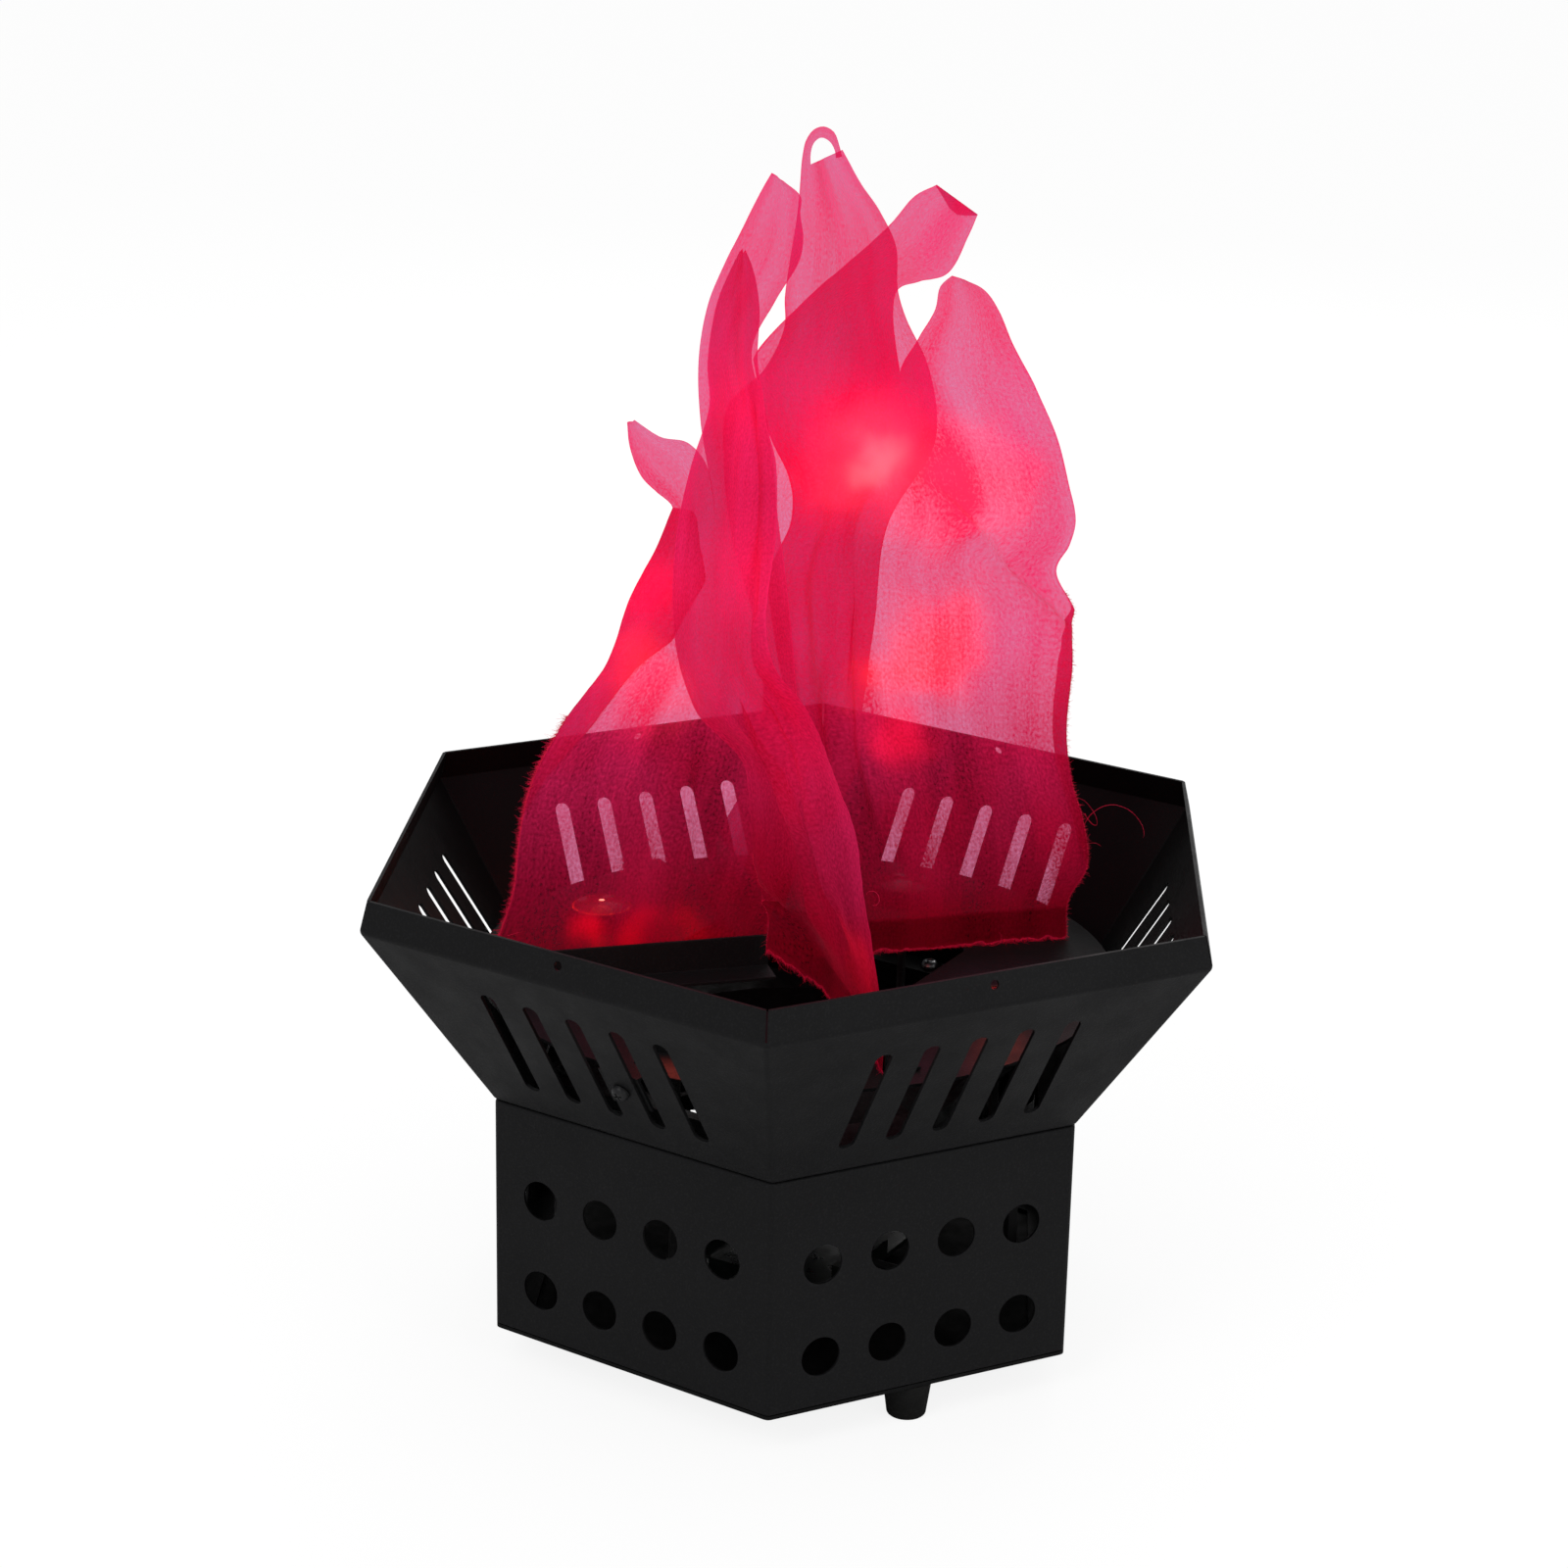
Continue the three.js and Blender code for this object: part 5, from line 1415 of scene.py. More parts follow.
def silk_cover(tree, grainy, unshaded, levels):
    """How closed the weave is: grain, painted fold shading, painted shade low in the basket, bunched
    edges, and the painted lamp light.
    """
    fine = stretch(tree, grainy, *GRAIN_RANGE, -GRAIN_COVER, GRAIN_COVER)
    # Painted fold shading, in long soft streaks along the cloth
    creases = woven_noise(tree, FOLD_SHADE_SCALE, (1.5, 0.35, 1), 2.5)
    soft = stretch(tree, creases, 0.38, 0.62, -FOLD_SHADE_COVER, FOLD_SHADE_COVER)
    edge = tree.nodes.new("ShaderNodeAttribute")
    edge.attribute_name = "cut_edge"
    bunched = times(tree, edge.outputs["Fac"], EDGE_COVER)
    # Painted shade: more cover low in the basket
    gathered = stretch(tree, unshaded, 0, 1, LOW_SHADE_COVER, 0)
    lit = [times(tree, level, GLOW_COVER) for level in levels]
    total = add_up(tree, fine, soft, bunched, gathered, *lit, SILK_COVER)
    return add_node(tree, "ShaderNodeClamp", Value=total).outputs[0]


def wobbling_place(tree, place):
    """The object's own place, pushed about by a slow noise."""
    cloud = add_node(tree, "ShaderNodeTexNoise", Vector=place, Scale=WOBBLE_SCALE, Detail=2.5)
    centred = vector_math(tree, "SUBTRACT", cloud.outputs["Color"], (0.5, 0.5, 0.5)).outputs[0]
    pushed = vector_math(tree, "MULTIPLY", centred, (GLOW_WOBBLE,) * 3).outputs[0]
    return vector_math(tree, "ADD", pushed, place).outputs[0]


def painted_lamp_light(tree, place):
    """The lamps' even red light, painted onto the cloth as emission, which begins above the basket."""
    share = times(tree, height_share(tree, place, *LIT_HEIGHTS), LIT_STRENGTH)
    return add_node(tree, "ShaderNodeEmission", Color=LIT_COLOUR, Strength=share).outputs[0]


def scattering(tree, grainy, unshaded):
    """The cloth's own body, light from the front and from behind, with a deeper colour low in the basket
    as painted shade.
    """
    patches = stretch(tree, grain(tree, ROSE_SCALE, 2.0), 0.4, 0.62, 0, 1)
    body = mix_colours(tree, patches, SILK_BODY, SILK_ROSE)
    # Painted shade: a deeper body low in the basket
    body = mix_colours(tree, unshaded, SILK_SHADED, body)
    bump = add_node(tree, "ShaderNodeBump", Height=grainy, Distance=CREPE_DEPTH)
    front = add_node(tree, "ShaderNodeBsdfDiffuse", Color=body, Normal=bump.outputs[0])
    through = add_node(tree, "ShaderNodeBsdfTranslucent", Color=body, Normal=bump.outputs[0])
    sheen = add_node(tree, "ShaderNodeBsdfSheen", Color=SHEEN_COLOUR)
    sheen.inputs["Roughness"].default_value = SHEEN_ROUGH
    cloth = mix_shaders(tree, THROUGH_SHARE, front.outputs[0], through.outputs[0])
    return mix_shaders(tree, SHEEN_SHARE, cloth, sheen.outputs[0])


def crepe_grain(tree):
    """The crepe's fine grain, with long streaks of warp and shorter ones of weft."""
    crepe = woven_noise(tree, CREPE_SCALE, (1, 0.75, 1), 1.5)
    warp = woven_noise(tree, STREAK_SCALE, (3.2, 0.10, 1), 2.0)
    weft = woven_noise(tree, STREAK_SCALE, (0.14, 2.6, 1), 2.0)
    lengthwise = times(tree, warp, LENGTHWISE_SHARE)
    crosswise = times(tree, weft, CROSSWISE_SHARE)
    return add_up(tree, lengthwise, crosswise, crepe)


def silk_finish():
    """The whole finish: clear or cloth by the cover, with the lamps' light painted on as emission."""
    material, tree, output = new_material("magenta_silk")
    place = own_place(tree)
    grainy = crepe_grain(tree)
    unshaded = height_share(tree, place, *LOW_SHADE_HEIGHTS)
    clear = add_node(tree, "ShaderNodeBsdfTransparent", Color=SILK_TINT)
    moved = wobbling_place(tree, place)
    glows = [glow_from(tree, *values, moved) for values in GLOWS]
    cover = silk_cover(tree, grainy, unshaded, [level for _, level in glows])
    total = mix_shaders(tree, cover, clear.outputs[0], scattering(tree, grainy, unshaded))
    for light in [glow for glow, _ in glows] + [painted_lamp_light(tree, place)]:
        added = tree.nodes.new("ShaderNodeAddShader")
        tree.links.new(total, added.inputs[0])
        tree.links.new(light, added.inputs[1])
        total = added.outputs[0]
    tree.links.new(total, output.inputs["Surface"])
    return material


silk = silk_finish()
silk_thread = plain_finish(
    "silk_thread",
    tones=((0.60, 0.004, 0.035, 1), (0.74, 0.012, 0.065, 1), 800),
    rough=(0.5, 0.7, 500),
    depth=0.00002,
    bump=(3000,),
    gloss=0.05,
)
print("glows:", len(GLOWS))

# %% [markdown]
# A flying silk is a flat cut of cloth that air has pushed into a shape. Simulation could find some
# flame, but not this one, so each silk is laid along two edge curves from its hem to its tip. Rows
# of points join the curves. A centripetal Catmull-Rom curve is a good choice for the edges, because
# it goes through every chosen point and makes no loops between close ones.

# %% Cloth curves
ROW_STEP = 1.5  # mm, the longest step between rows
COLUMNS = 92


def blend_points(low, high, here, first, second):
    """The point between two points, as far along as here is between low and high."""
    return (high - here) / (high - low) * first + (here - low) / (high - low) * second


def curve_point(four, share):
    """A point between the second and third of four points, on a centripetal curve."""
    gaps = np.sqrt(np.maximum(np.linalg.norm(np.diff(four, axis=0), axis=1), 1e-6))
    k = np.concatenate([[0], np.cumsum(gaps)])
    here = k[1] + share * (k[2] - k[1])
    a = [blend_points(k[i], k[i + 1], here, four[i], four[i + 1]) for i in range(3)]
    b = [blend_points(k[i], k[i + 2], here, a[i], a[i + 1]) for i in range(2)]
    return blend_points(k[1], k[2], here, b[0], b[1])


def spline(points, places):
    """Points on the curve, at places from 0 to the last point's number."""
    points = np.asarray(points, float)
    padded = np.vstack([2 * points[0] - points[1], points, 2 * points[-1] - points[-2]])
    made = []
    for place in places:
        at = min(int(place), len(points) - 2)
        made.append(curve_point(padded[at : at + 4], place - at))
    return np.array(made)


def row_places(rows):
    """Row numbers, close enough together that no step is longer than ROW_STEP."""
    places = [0.0]
    for at in range(len(rows) - 1):
        here, after = np.array(rows[at], float), np.array(rows[at + 1], float)
        length = max(np.linalg.norm(after[:3] - here[:3]), np.linalg.norm(after[3:] - here[3:]))
        steps = max(2, math.ceil(length / ROW_STEP))
        places += [at + (step + 1) / steps for step in range(steps)]
    return np.array(places)


def smooth(value, low, high):
    """0 below low, 1 above high, and a soft ramp in between."""
    share = np.clip((value - low) / (high - low), 0, 1)
    return share * share * (3 - 2 * share)


# %% [markdown]
# The hem of each silk runs along one side of its bar, so its first two rows follow from the bar. All
# other rows are chosen from the picture, in millimetres: the left end of the row, then the right
# end. Tables read more easily than formulas here, because a flame has no regular shape.

# %% Hems
HEM_RISE = 0.8  # mm, from the deck up to the hem
HEM_LIFT = 1.5  # mm, from the bar up to the next row
HEM_GAP = 0.5  # mm, from the seat beside the bar to the cloth
SILK_SIDE = (BAR_OFFSET - SEAT) / MM - HEM_GAP


def hem_rows(quarter, outer_on_left, inner=BAR_START / MM):
    """The hem and the line just over the bar, as table rows in millimetres."""
    turn = CROSS_ANGLE + quarter * math.pi / 2
    outer = BAR_END / MM
    ends = (outer, inner) if outer_on_left else (inner, outer)
    rows = []
    for height in (DECK_TOP / MM + HEM_RISE, BAR_TOP / MM + HEM_LIFT):
        row = []
        for reach in ends:
            row += [
                reach * math.cos(turn) - SILK_SIDE * math.sin(turn),
                reach * math.sin(turn) + SILK_SIDE * math.cos(turn),
                height,
            ]
        rows.append(tuple(row))
    return rows


# %% Left silk and right silk
LEFT_ROWS = hem_rows(2, True) + [
    (-84, -29, 161, -3, -5, 150),
    (-80, -27, 183, 0, -5, 175),
    (-70, -25, 203.5, 0, -5, 195),
    (-57.5, -22, 221, -2, -5, 214),
    (-51.5, -19, 239, -4, -5, 232),
    (-44.5, -16, 253, -6, -5, 248),
    (-39, -14, 267, -8, -4, 262),
]
LEFT_CURL = [
    (-44, -14, 271.8, -29.5, -11, 280),
    (-48.4, -15, 276.5, -35, -12, 286.5),
    (-51.8, -16, 285.6, -43, -14, 288.5),
    (-52.6, -17, 293.2, -50.5, -16, 293.8),
]
LEFT_TONGUE = [
    (-31.8, -6, 292, -12, -3, 292),
    (-32.6, -5, 311, -17, -3, 313),
    (-30, -4, 327, -10.5, -2, 327.5),
    (-24.8, -4, 340, -3.5, -1, 340),
    (-21.2, -3, 347.5, -2.6, -1, 346.5),
    (-17.7, -3, 355, -3.6, -1, 353.5),
    (-14.4, -2, 361.5, -3.6, -1, 358.5),
    (-12.2, -2, 365.4, -8.8, -1, 363),
]
RIGHT_ROWS = hem_rows(0, False) + [
    (4, 2, 150, 90.6, 27, 144.5),
    (1, 3, 170, 88.8, 27, 158.8),
    (-2, 4, 186, 84.5, 27, 172.5),
    (-4, 5, 198, 82.3, 26, 186),
    (-8, 6, 215, 82.5, 25, 203),
    (-11, 7, 232, 83.8, 25, 219),
    (-12, 7, 240, 83.2, 25, 228),
    (-9, 7, 249, 76.3, 24, 242),
    (-5.4, 7, 257, 80, 23, 250.6),
    (-4.6, 8, 265, 81.6, 22, 258.5),
    (-6.2, 8, 273, 78.8, 21, 270.5),
    (-12, 8, 285, 75, 20, 284),
    (-17.4, 8, 308, 67.2, 18, 301),
]
RIGHT_RIBBON = [
    (-3.5, 9, 325, 25, 11, 329.5),
    (12, 9, 339.5, 32, 12, 332.5),
    (22, 10, 349, 40, 12, 335),
    (29.5, 10, 358, 45.5, 13, 346),
    (35.7, 11, 361.4, 48.1, 14, 352.5),
]
RIGHT_FLAP = [
    (35.6, 12.4, 360.6, 47.6, 15.2, 352),
    (37.6, 12.2, 357.6, 44.4, 14.4, 352),
    (39.6, 12.4, 354.4, 42.2, 13.8, 352.2),
]
RIGHT_TONGUE = [
    (32, 12, 315.5, 60.4, 17, 313),
    (36.5, 13, 324, 55.6, 16, 323.5),
    (37.8, 13, 331, 51.2, 16, 329.5),
    (41.5, 13, 334.2, 45, 15, 332.8),
]
print("rows:", len(LEFT_ROWS), len(RIGHT_ROWS))

# %% Back silk and front silk
BACK_ROWS = hem_rows(1, True) + [
    (-23, 78, 148, 2, 14, 150),
    (-16, 66, 166, 16, 18, 175),
    (-16, 50, 196, 18, 20, 196),
    (-20, 38, 225, 21, 21, 222),
    (-25, 30, 250, 24, 22, 255),
    (-27, 26, 272, 37, 22, 279),
    (-26, 24, 290, 38, 22, 289),
    (-15, 23, 302, 34.5, 22, 306),
    (-9.2, 23, 315, 28, 22, 319),
    (-9.2, 23, 324, 25, 22, 328),
    (-7.8, 23, 336, 24, 22, 341),
    (-6.2, 23, 347, 19, 22, 351),
    (-5.4, 23, 355, 13.2, 22, 359),
    (-5, 24, 363, 7, 23, 369),
]
BACK_LOOP = [
    (-4.7, 24.5, 367.3, -2.4, 24.5, 367.6),
    (-4.0, 25, 371, -1.6, 25, 370.4),
    (-1.8, 25.5, 374.3, 0, 25.5, 371.9),
    (1.3, 25.5, 375.4, 1.3, 25.5, 372),
    (4.3, 25, 374, 3.3, 25, 370.9),
    (6.1, 24, 370, 4.7, 24, 368.8),
    (7, 23.4, 367, 5.2, 23.4, 366.5),
]
FRONT_ROWS = hem_rows(3, False, inner=3) + [
    (-11, -14, 150, 23, -76, 174),
    (-13, -18, 170, 18, -68, 189),
    (-17, -22, 190, 11, -58, 203),
    (-30, -26, 206, 4, -48, 216),
    (-35.3, -28, 220, -7, -38, 228),
    (-37.4, -28, 243, -8.2, -30, 245),
    (-36.3, -26, 265, -7.4, -25, 265),
    (-33, -23, 282, -8, -23, 284),
    (-28, -21, 300, -11.6, -21, 302),
    (-28.8, -19, 312, -14, -19, 313),
    (-26.5, -18, 329, -13.9, -18, 329),
    (-23, -17, 338.5, -16, -17, 339.5),
    (-20, -17, 345, -18.4, -17, 345),
]
print("rows:", len(BACK_ROWS), len(FRONT_ROWS))

# %% [markdown]
# A cloth is built as a grid. `folds` are waves that stand out of the cloth, `pleats` are narrow
# places where it runs forward, back and forward again, and `pulls` move one corner softly. Small
# wrinkles come from noise at two sizes.

# %% Cloth shaping
LAYER_GAP = 0.9
WRINKLE = 0.9
FINE_WRINKLE = 0.28
WRINKLE_SCALE = 0.16  # per mm
FINE_SCALE = 0.42
STRAIGHT_SHARE = 0.3  # of a fold's depth, left at the ends of a row
PLEAT_RAMP = 18  # mm of height over which a pleat comes and goes


def row_frames(left, right):
    """For each row: its chord, and the direction that stands out of the cloth there."""
    chord = right - left
    up = np.gradient((left + right) / 2, axis=0)
    out = np.cross(chord, up)
    return chord, out / np.maximum(np.linalg.norm(out, axis=1, keepdims=True), 1e-6)


def fold_waves(folds, u, height):
    """Waves that run up the cloth. Each has a count across, a drift, a depth and a phase."""
    stand = np.zeros((len(height), u.shape[1]))
    for count, drift, depth, phase in folds:
        stand += depth * np.sin(math.tau * (count * u + drift * height[:, None] / 100 + phase))
    return stand * (STRAIGHT_SHARE + (1 - STRAIGHT_SHARE) * np.sin(np.pi * u))


def pleat_moves(pleats, u, height, width):
    """How pleats shift points along the row and out of the cloth."""
    shift = np.zeros((len(height), u.shape[1]))
    stand = np.zeros_like(shift)
    for path, half, rise, back, (low, high) in pleats:
        middle = np.interp(height, *zip(*path))[:, None]
        begun = smooth(height, low, low + PLEAT_RAMP)
        here = (begun * (1 - smooth(height, high - PLEAT_RAMP, high)))[:, None]
        t = np.clip((u - middle) * width[:, None] / half, -1, 1)
        shift -= back * here * np.sin(np.pi * t)
        stand += rise * here * np.sin(np.pi * t)
    return shift, stand


def wrinkle(points, out, seed, share):
    """Pushes points along the row's outward direction by two sizes of noise."""
    for row in range(len(points)):
        for column in range(points.shape[1]):
            x, y, z = points[row, column]
            slow_at = Vector((x, y * 0.4, z * 0.35)) * WRINKLE_SCALE + Vector((seed, 0, 0))
            quick_at = Vector((x, y, z * 0.5)) * FINE_SCALE + Vector((0, seed, 0))
            push = WRINKLE * noise.noise(slow_at) + FINE_WRINKLE * noise.noise(quick_at)
            points[row, column] += out[row] * push * share[row]
    return points


def pull_corners(points, pulls, u, height):
    """Moves the cloth near one end of a row, at one height, by a vector."""
    for at, reach, low, high, move in pulls:
        near = 1 - smooth(np.abs(u - at), 0, reach)
        level = 1 - smooth(height, low, high)
        points = points + (near * level[:, None])[..., None] * np.array(move, float)
    return points


# %% [markdown]
# One function lays a patch of cloth from its rows. A tongue is a patch that starts from part of
# another patch's last row, so the cloth divides without a seam: its first rows keep what the old
# row had in folds, and lose it slowly on the way up. The hem is cut raggedly and stays on the deck.

# %% Cloth patch
KEPT_SHARE = 0.35
HEM_RAGGED = 1.1
HEM_CLEAR = 0.1  # mm over the deck
HEM_LOWEST = DECK_TOP / MM + HEM_CLEAR
FREE_RISES = (2, 34)  # mm over the bar, where the cloth begins to move and is free
TURN_STEPS = 15
SHORTEST_TURN = 0.6


def ragged(line, seed):
    """How far each point of a cut hem stands above or below the straight cut."""
    places = [Vector((x, y, seed)) for x, y, _ in line]
    return np.array([noise.noise(at * 0.3) + 0.6 * noise.noise(at * 1.1) for at in places]) * HEM_RAGGED


def cloth_patch(rows, u, style, parent=None, columns=None):
    """Points of one patch in rows and columns, with its heights, widths and flat length."""
    lead = []
    if parent is not None:
        piece = parent["points"][:, columns]
        lead = [(*piece[row, 0], *piece[row, -1]) for row in (-6, -1)]
    places = row_places(lead + rows)
    places = places[places >= max(len(lead) - 1, 0)]
    left = spline([row[:3] for row in lead + rows], places)
    right = spline([row[3:] for row in lead + rows], places)
    chord, out = row_frames(left, right)
    width = np.maximum(np.linalg.norm(chord, axis=1), 0.5)
    height = (left[:, 2] + right[:, 2]) / 2
    begins, ends = (BAR_TOP / MM + rise for rise in FREE_RISES)
    free = np.ones(len(left)) if lead else smooth(height, begins, ends)
    u_row = u[None, :]
    shift, stand = pleat_moves(style.get("pleats", ()), u_row, height, width)
    stand += fold_waves(style["folds"], u_row, height)
    along = u_row + shift * free[:, None] / width[:, None]
    points = left[:, None] + along[..., None] * chord[:, None]
    points = points + (stand * free[:, None])[..., None] * out[:, None]
    points = pull_corners(points, style.get("pulls", ()), u_row, height)
    points = wrinkle(points, out, style["seed"], free)
    if not lead:
        points[0, :, 2] += ragged(points[0], style["seed"])
        points[0, :, 2] = np.maximum(points[0, :, 2], HEM_LOWEST)
    middle = (left + right) / 2
    length = np.concatenate([[0], np.cumsum(np.linalg.norm(np.diff(middle, axis=0), axis=1))])
    if lead:
        kept = 1 - smooth(np.arange(len(left)), 0, max(len(left) * KEPT_SHARE, 2))
        points = points + (parent["points"][-1, columns] - points[0])[None] * kept[:, None, None]
        length = length + parent["length"][-1]
    return {"points": points, "out": out, "height": height, "width": width, "length": length}


def turned_layer(patch, side, widths, behind):
    """The strip of cloth folded back at one edge: its points, and the rows where it exists."""
    reach = np.interp(patch["height"], *zip(*widths))
    steps = np.linspace(0, 1, TURN_STEPS) ** 1.4
    points = []
    for row, line in enumerate(patch["points"]):
        line = line if side == "left" else line[::-1]
        lengths = np.concatenate([[0], np.cumsum(np.linalg.norm(np.diff(line, axis=0), axis=1))])
        away = reach[row] * steps
        place = np.stack([np.interp(away, lengths, line[:, axis]) for axis in range(3)], axis=1)
        rise = LAYER_GAP * np.sqrt(1 - (1 - np.minimum(away / LAYER_GAP, 1)) ** 2)
        points.append(place + (-rise if behind else rise)[:, None] * patch["out"][row])
    return np.array(points), reach > SHORTEST_TURN


# %% [markdown]
# The patches of one silk are gathered into a single mesh. It keeps where each point lies on the
# flat cloth, for the weave, and how near it is to a cut edge, for the bunched threads there.

# %% Cloth mesh
TURN_WEAVE = 10  # mm of flat cloth that a turned strip shows
MERGE_REACH = 0.02 * MM


class Cloth:
    """Gathers patches into one mesh with flat coordinates and a cut-edge value."""

    def __init__(self):
        self.points = []
        self.flat = []
        self.edge = []
        self.faces = []

    def add(self, points, across, up, cut, rows=None):
        """A grid of points. Cut says, for each point, how near a cut edge it is."""
        start = len(self.points)
        count_rows, count = points.shape[:2]
        self.points += list(points.reshape(-1, 3))
        self.flat += [(across[column], up[row]) for row in range(count_rows) for column in range(count)]
        self.edge += list(cut.ravel())
        for row in range(count_rows - 1):
            if rows is not None and not (rows[row] and rows[row + 1]):
                continue
            for column in range(count - 1):
                low = start + row * count + column
                self.faces.append((low, low + 1, low + count + 1, low + count))

    def thing(self, name):
        """The mesh object, with the flat coordinates as its UV layer and loose points removed."""
        made = add_object(name, [Vector(point) * MM for point in self.points], self.faces)
        near = made.data.attributes.new("cut_edge", "FLOAT", "POINT")
        near.data.foreach_set("value", np.array(self.edge, np.float32))
        layer = made.data.uv_layers.new(name="flat")
        at = [loop.vertex_index for loop in made.data.loops]
        layer.data.foreach_set("uv", (np.array(self.flat)[at] * MM).astype(np.float32).ravel())
        work = bmesh.new()
        work.from_mesh(made.data)
        bmesh.ops.delete(work, geom=[v for v in work.verts if not v.link_faces], context="VERTS")
        bmesh.ops.remove_doubles(work, verts=work.verts, dist=MERGE_REACH)
        work.to_mesh(made.data)
        work.free()
        made.data.shade_smooth()
        return made


def cut_values(shape, sides):
    """1 along the cut sides of a grid, and 0 inside it."""
    values = np.zeros(shape)
    places = {"left": np.s_[:, 0], "right": np.s_[:, -1], "hem": np.s_[0, :], "tip": np.s_[-1, :]}
    for side in sides:
        values[places[side]] = 1
    return values


def build_cloth(rows, style, tongues=()):
    """A cloth from its rows, the tongues it divides into and its turned edges, and its base patch."""
    cloth = Cloth()
    u = np.linspace(0, 1, COLUMNS + 1)
    base = cloth_patch(rows, u, style)
    patches = {"base": (base, u)}
    sides = ("hem", "left", "right") if tongues else ("hem", "left", "right", "tip")
    nominal = base["width"].max()
    cloth.add(base["points"], u * nominal, base["length"], cut_values(base["points"].shape[:2], sides))
    for name, parent_name, first, last, tongue_rows, tongue_style in tongues:
        parent, parent_u = patches[parent_name]
        count = len(parent_u) - 1
        columns = slice(round(first * count), round(last * count) + 1)
        own = np.linspace(0, 1, columns.stop - columns.start)
        patch = cloth_patch(tongue_rows, own, tongue_style, parent, columns)
        patches[name] = (patch, parent_u[columns])
        cut = cut_values(patch["points"].shape[:2], ("left", "right", "tip"))
        cut[0] = 0
        cloth.add(patch["points"], parent_u[columns] * nominal, patch["length"], cut)
    for name, side, widths, behind in style.get("turns", ()):
        patch = patches[name][0]
        points, exists = turned_layer(patch, side, widths, behind)
        inwards = 1 if side == "left" else -1
        turned = np.linspace(0, TURN_WEAVE, points.shape[1])
        across = (0 if side == "left" else nominal) + inwards * turned
        cut = cut_values(points.shape[:2], ("right",))
        cloth.add(points, across, patch["length"], cut, exists)
    return cloth, base


# %% [markdown]
# Raw silk frays. Along the hems and some cut edges stand thousands of loose filaments, each a thin
# curved hair of a millimetre or so. They are real geometry, three-sided tubes that taper, and they
# go with their cloth as its fringe. A few longer threads hang out of the edges in lazy curls.

# %% Fringe builder
HAIR_RADIUS = 0.065
THREAD_RADIUS = 0.09
HAIR_TAPER = 0.7
HAIR_ROOT = 0.3  # mm of a hair inside the cloth
HAIR_SPREAD = 0.35
HAIR_LEAN = 0.6  # along the edge
LONGEST_HAIR = 3.2  # times its usual length
THREAD_STEPS = 18


def hair(points, radius):
    """A three-sided tapering tube along a few points. Where it would pass the deck it lies on it."""
    lowest = HEM_LOWEST + radius / 2
    points = [Vector((point.x, point.y, max(point.z, lowest))) for point in points]
    rings = []
    for at, point in enumerate(points):
        ahead = points[min(at + 1, len(points) - 1)] - points[max(at - 1, 0)]
        side = ahead.orthogonal().normalized()
        other = ahead.cross(side).normalized()
        size = radius * (1 - HAIR_TAPER * at / (len(points) - 1))
        turns = [math.tau * corner / 3 for corner in range(3)]
        rings.append([tuple(point + size * (math.cos(t) * side + math.sin(t) * other)) for t in turns])
    return loft(rings)


def fray(gathered, edge, inner, density, length, draw):
    """Hairs along an edge. The inner line tells which way is out of the cloth."""
    for at in range(len(edge) - 1):
        chance = np.linalg.norm(edge[at + 1] - edge[at]) * density
        for _ in range(int(chance) + (draw.random() < chance % 1)):
            base = Vector(edge[at] + (edge[at + 1] - edge[at]) * draw.random())
            out = Vector(edge[at] - inner[at]).normalized()
            along = Vector(edge[at + 1] - edge[at]).normalized()
            spread = Vector([draw.gauss(0, HAIR_SPREAD) for _ in range(3)])
            aim = (out + along * draw.gauss(0, HAIR_LEAN) + spread).normalized()
            reach = min(length * (0.25 + draw.expovariate(1.6)), LONGEST_HAIR * length)
            bend = Vector([draw.gauss(0, HAIR_SPREAD) for _ in range(3)]) * reach
            path = [base - out * HAIR_ROOT, base + aim * reach * 0.5, base + aim * reach + bend * 0.6]
            gathered.add(hair(path, HAIR_RADIUS * draw.uniform(0.6, 1.2)))


def loose_thread(gathered, start, length, draw):
    """One long filament that hangs out of an edge in a lazy curl."""
    ranges = ((-0.3, 1), (-0.6, 0.2), (-0.8, 0.8))
    heading = Vector([draw.uniform(low, high) for low, high in ranges]).normalized()
    axis = Vector([draw.gauss(0, 1) for _ in range(3)]).normalized()
    path = [Vector(start)]
    for _ in range(THREAD_STEPS):
        heading = (Matrix.Rotation(draw.uniform(0.1, 0.45), 3, axis) @ heading).normalized()
        path.append(path[-1] + heading * length / THREAD_STEPS)
    gathered.add(hair(path, THREAD_RADIUS))


def fringe(name, frays, threads, seed):
    """All the hairs and loose threads of one cloth, as one piece."""
    draw = random.Random(seed)
    gathered = Shapes()
    for edge, inner, density, length in frays:
        fray(gathered, edge, inner, density, length, draw)
    for start, length in threads:
        loose_thread(gathered, start, length, draw)
    return add_object(name, [point * MM for point in gathered.points], gathered.faces)


def edge_of(patch, side, heights):
    """The hem, or a side edge between two heights, and the line just inside it."""
    points = patch["points"]
    if side == "hem":
        return points[0], points[1]
    low, high = heights
    column, inside = (0, 1) if side == "left" else (-1, -2)
    line = points[:, column]
    keep = (line[:, 2] >= low) & (line[:, 2] <= high)
    return line[keep], points[:, inside][keep]


# %% [markdown]
# Now the four silks: for each, its style, the tongues that it divides into, its frayed edges and
# its loose threads. Each is declared as a sheet with the size that it was cut to: its widest row
# one way, and its longest way from hem to tip the other way, both along the folded cloth and
# rounded up to 10 mm. The cut is a flame shape.

# %% Silk styles
PLAIN = {"folds": [(1.0, 0.5, 0.8, 0.1)], "seed": 5}
CALM = {"folds": [(0.5, 0.1, 0.1, 0.1)], "seed": 6}
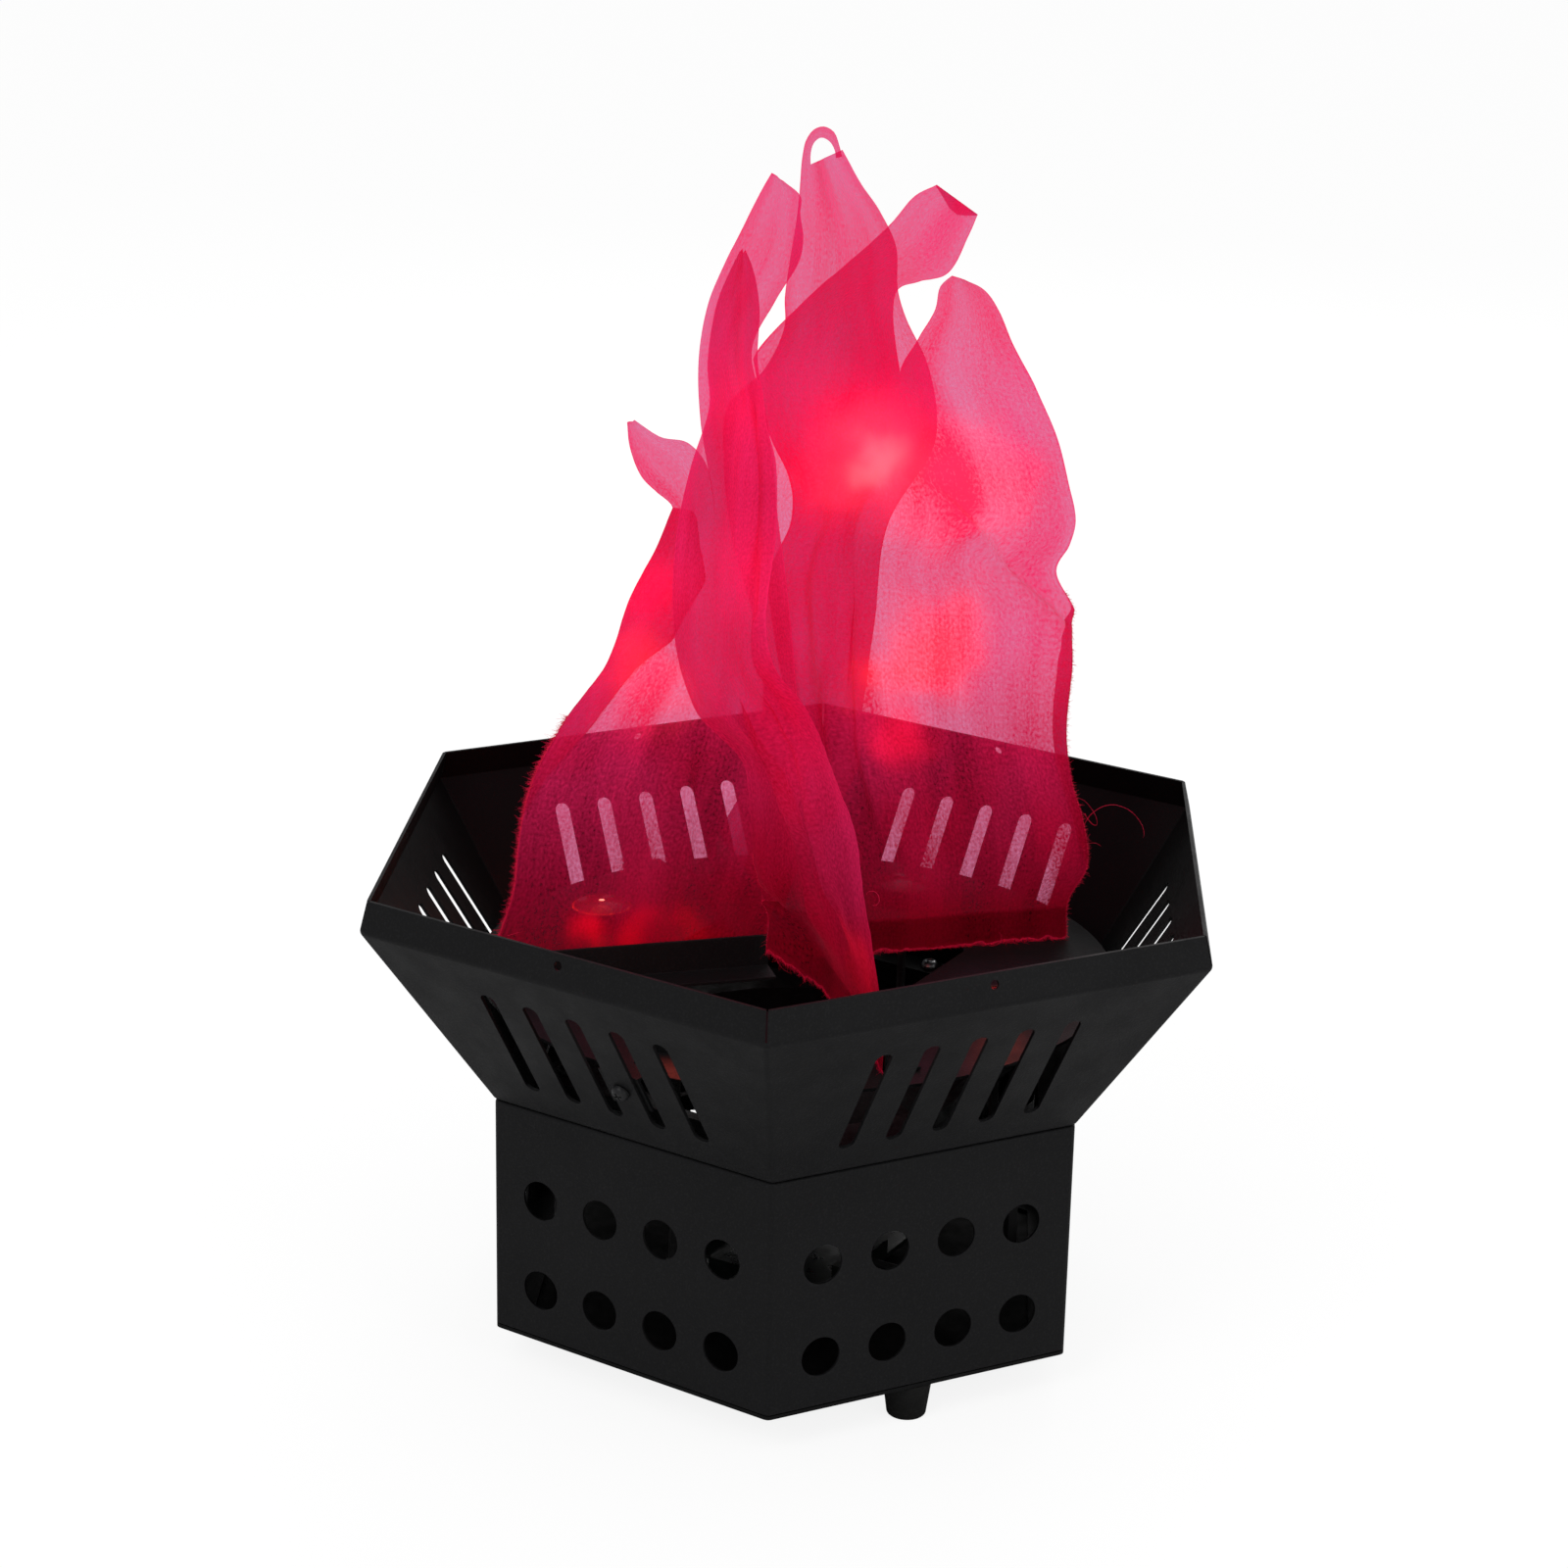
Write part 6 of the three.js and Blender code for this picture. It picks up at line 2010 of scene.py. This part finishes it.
# Height in mm and width of the strip that is turned back there
LEFT_TURN = ((166, 0), (181, 4), (199, 10), (215, 10.5), (225, 18), (244, 20), (262, 9), (268, 3))
RIGHT_TURN = ((146, 0), (160, 3.2), (205, 4.6), (226, 4.4), (238, 0))
STYLES = {
    "left": {
        "seed": 1,
        "folds": [(1.6, 1.1, 2.6, 0.05), (3.3, -0.7, 0.9, 0.4)],
        "pleats": [(((125, 0.74), (150, 0.66), (190, 0.58)), 6, 1.0, 1.3, (142, 200))],
        "pulls": [(0.0, 0.22, 120, 150, (-8.4, -2.6, -0.6))],
        "turns": [("base", "left", LEFT_TURN, True)],
    },
    "right": {
        "seed": 2,
        "folds": [(1.7, 0.9, 2.6, 0.3), (3.7, -0.8, 0.9, 0.15)],
        "pleats": [
            (((212, 1.0), (230, 0.97), (244, 0.84), (262, 0.6), (275, 0.45)), 7.5, 1.2, 2.1, (208, 276)),
            (((150, 0.08), (200, 0.12), (240, 0.14), (275, 0.12)), 6, 1.2, 1.6, (145, 268)),
            (((150, 0.24), (185, 0.22), (225, 0.28), (262, 0.32)), 6, 1.3, 1.8, (150, 240)),
        ],
        "turns": [("base", "right", RIGHT_TURN, True)],
    },
    "back": {
        "seed": 3,
        "folds": [(1.4, 1.0, 2.4, 0.6), (3.1, 0.6, 0.8, 0.2)],
        "pleats": [
            (((180, 0.62), (230, 0.58), (290, 0.5)), 6, 1.2, 1.6, (165, 292)),
            (((180, 0.8), (230, 0.84), (290, 0.76)), 5.5, 1.1, 1.5, (190, 300)),
        ],
    },
    "front": {
        "seed": 4,
        "folds": [(1.3, 1.2, 3.2, 0.2), (3.1, -0.5, 1.2, 0.7)],
        "pleats": [
            (((200, 0.82), (240, 0.87), (300, 0.8)), 4.5, 1.0, 2.5, (196, 306)),
            (((132, 0.34), (160, 0.40), (190, 0.46), (215, 0.52)), 5, 1.3, 2.8, (134, 226)),
            (((140, 0.7), (185, 0.7), (215, 0.64)), 4, 1.0, 2.1, (140, 228)),
        ],
        "pulls": [(0.0, 0.26, 135, 151, (-11.6, -7.6, 7.5))],
    },
}
TONGUES = {
    "left": [
        ("curl", "base", 0, 0.4, LEFT_CURL, PLAIN),
        ("tongue", "base", 0.4, 1, LEFT_TONGUE, PLAIN),
    ],
    "right": [
        ("ribbon", "base", 0, 0.52, RIGHT_RIBBON, PLAIN),
        ("flap", "ribbon", 0, 1, RIGHT_FLAP, CALM),
        ("tongue", "base", 0.52, 1, RIGHT_TONGUE, PLAIN),
    ],
    "back": [("loop", "base", 0, 0.22, BACK_LOOP, CALM)],
    "front": [],
}
ROWS = {"left": LEFT_ROWS, "right": RIGHT_ROWS, "back": BACK_ROWS, "front": FRONT_ROWS}
FRAYS = {
    # edge, heights in mm, hairs in a mm, usual length in mm
    "left": [("hem", None, 12, 1.0), ("left", (119, 205), 18, 0.9)],
    "right": [("hem", None, 24, 1.4), ("right", (119, 236), 7, 0.6)],
    "back": [("hem", None, 8, 1.0)],
    "front": [("hem", None, 18, 1.1), ("left", (119, 160), 8, 0.8)],
}
THREADS = {
    # start in mm, length in mm
    "left": [((-87, -31, 135), 16), ((-80, -28, 182), 9)],
    "right": [((89, 27, 158), 34), ((89, 27, 162), 26), ((90, 27, 150), 14), ((60, 20, 119), 12)],
    "back": [],
    "front": [((24, -76, 170), 12), ((-8, -9, 124), 12)],
}

# %% Make the silks
for side, rows in ROWS.items():
    cloth, base = build_cloth(rows, STYLES[side], TONGUES[side])
    sheet = dress(cloth.thing(f"silk_sheet_{side}"), silk, "magenta_silk", f"silk_{side}")
    frays = [
        (*edge_of(base, edge, heights), density, length)
        for edge, heights, density, length in FRAYS[side]
    ]
    hairs = fringe(f"silk_fringe_{side}", frays, THREADS[side], STYLES[side]["seed"])
    dress(hairs, silk_thread, "magenta_silk")

# %% Sizes
low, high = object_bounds()
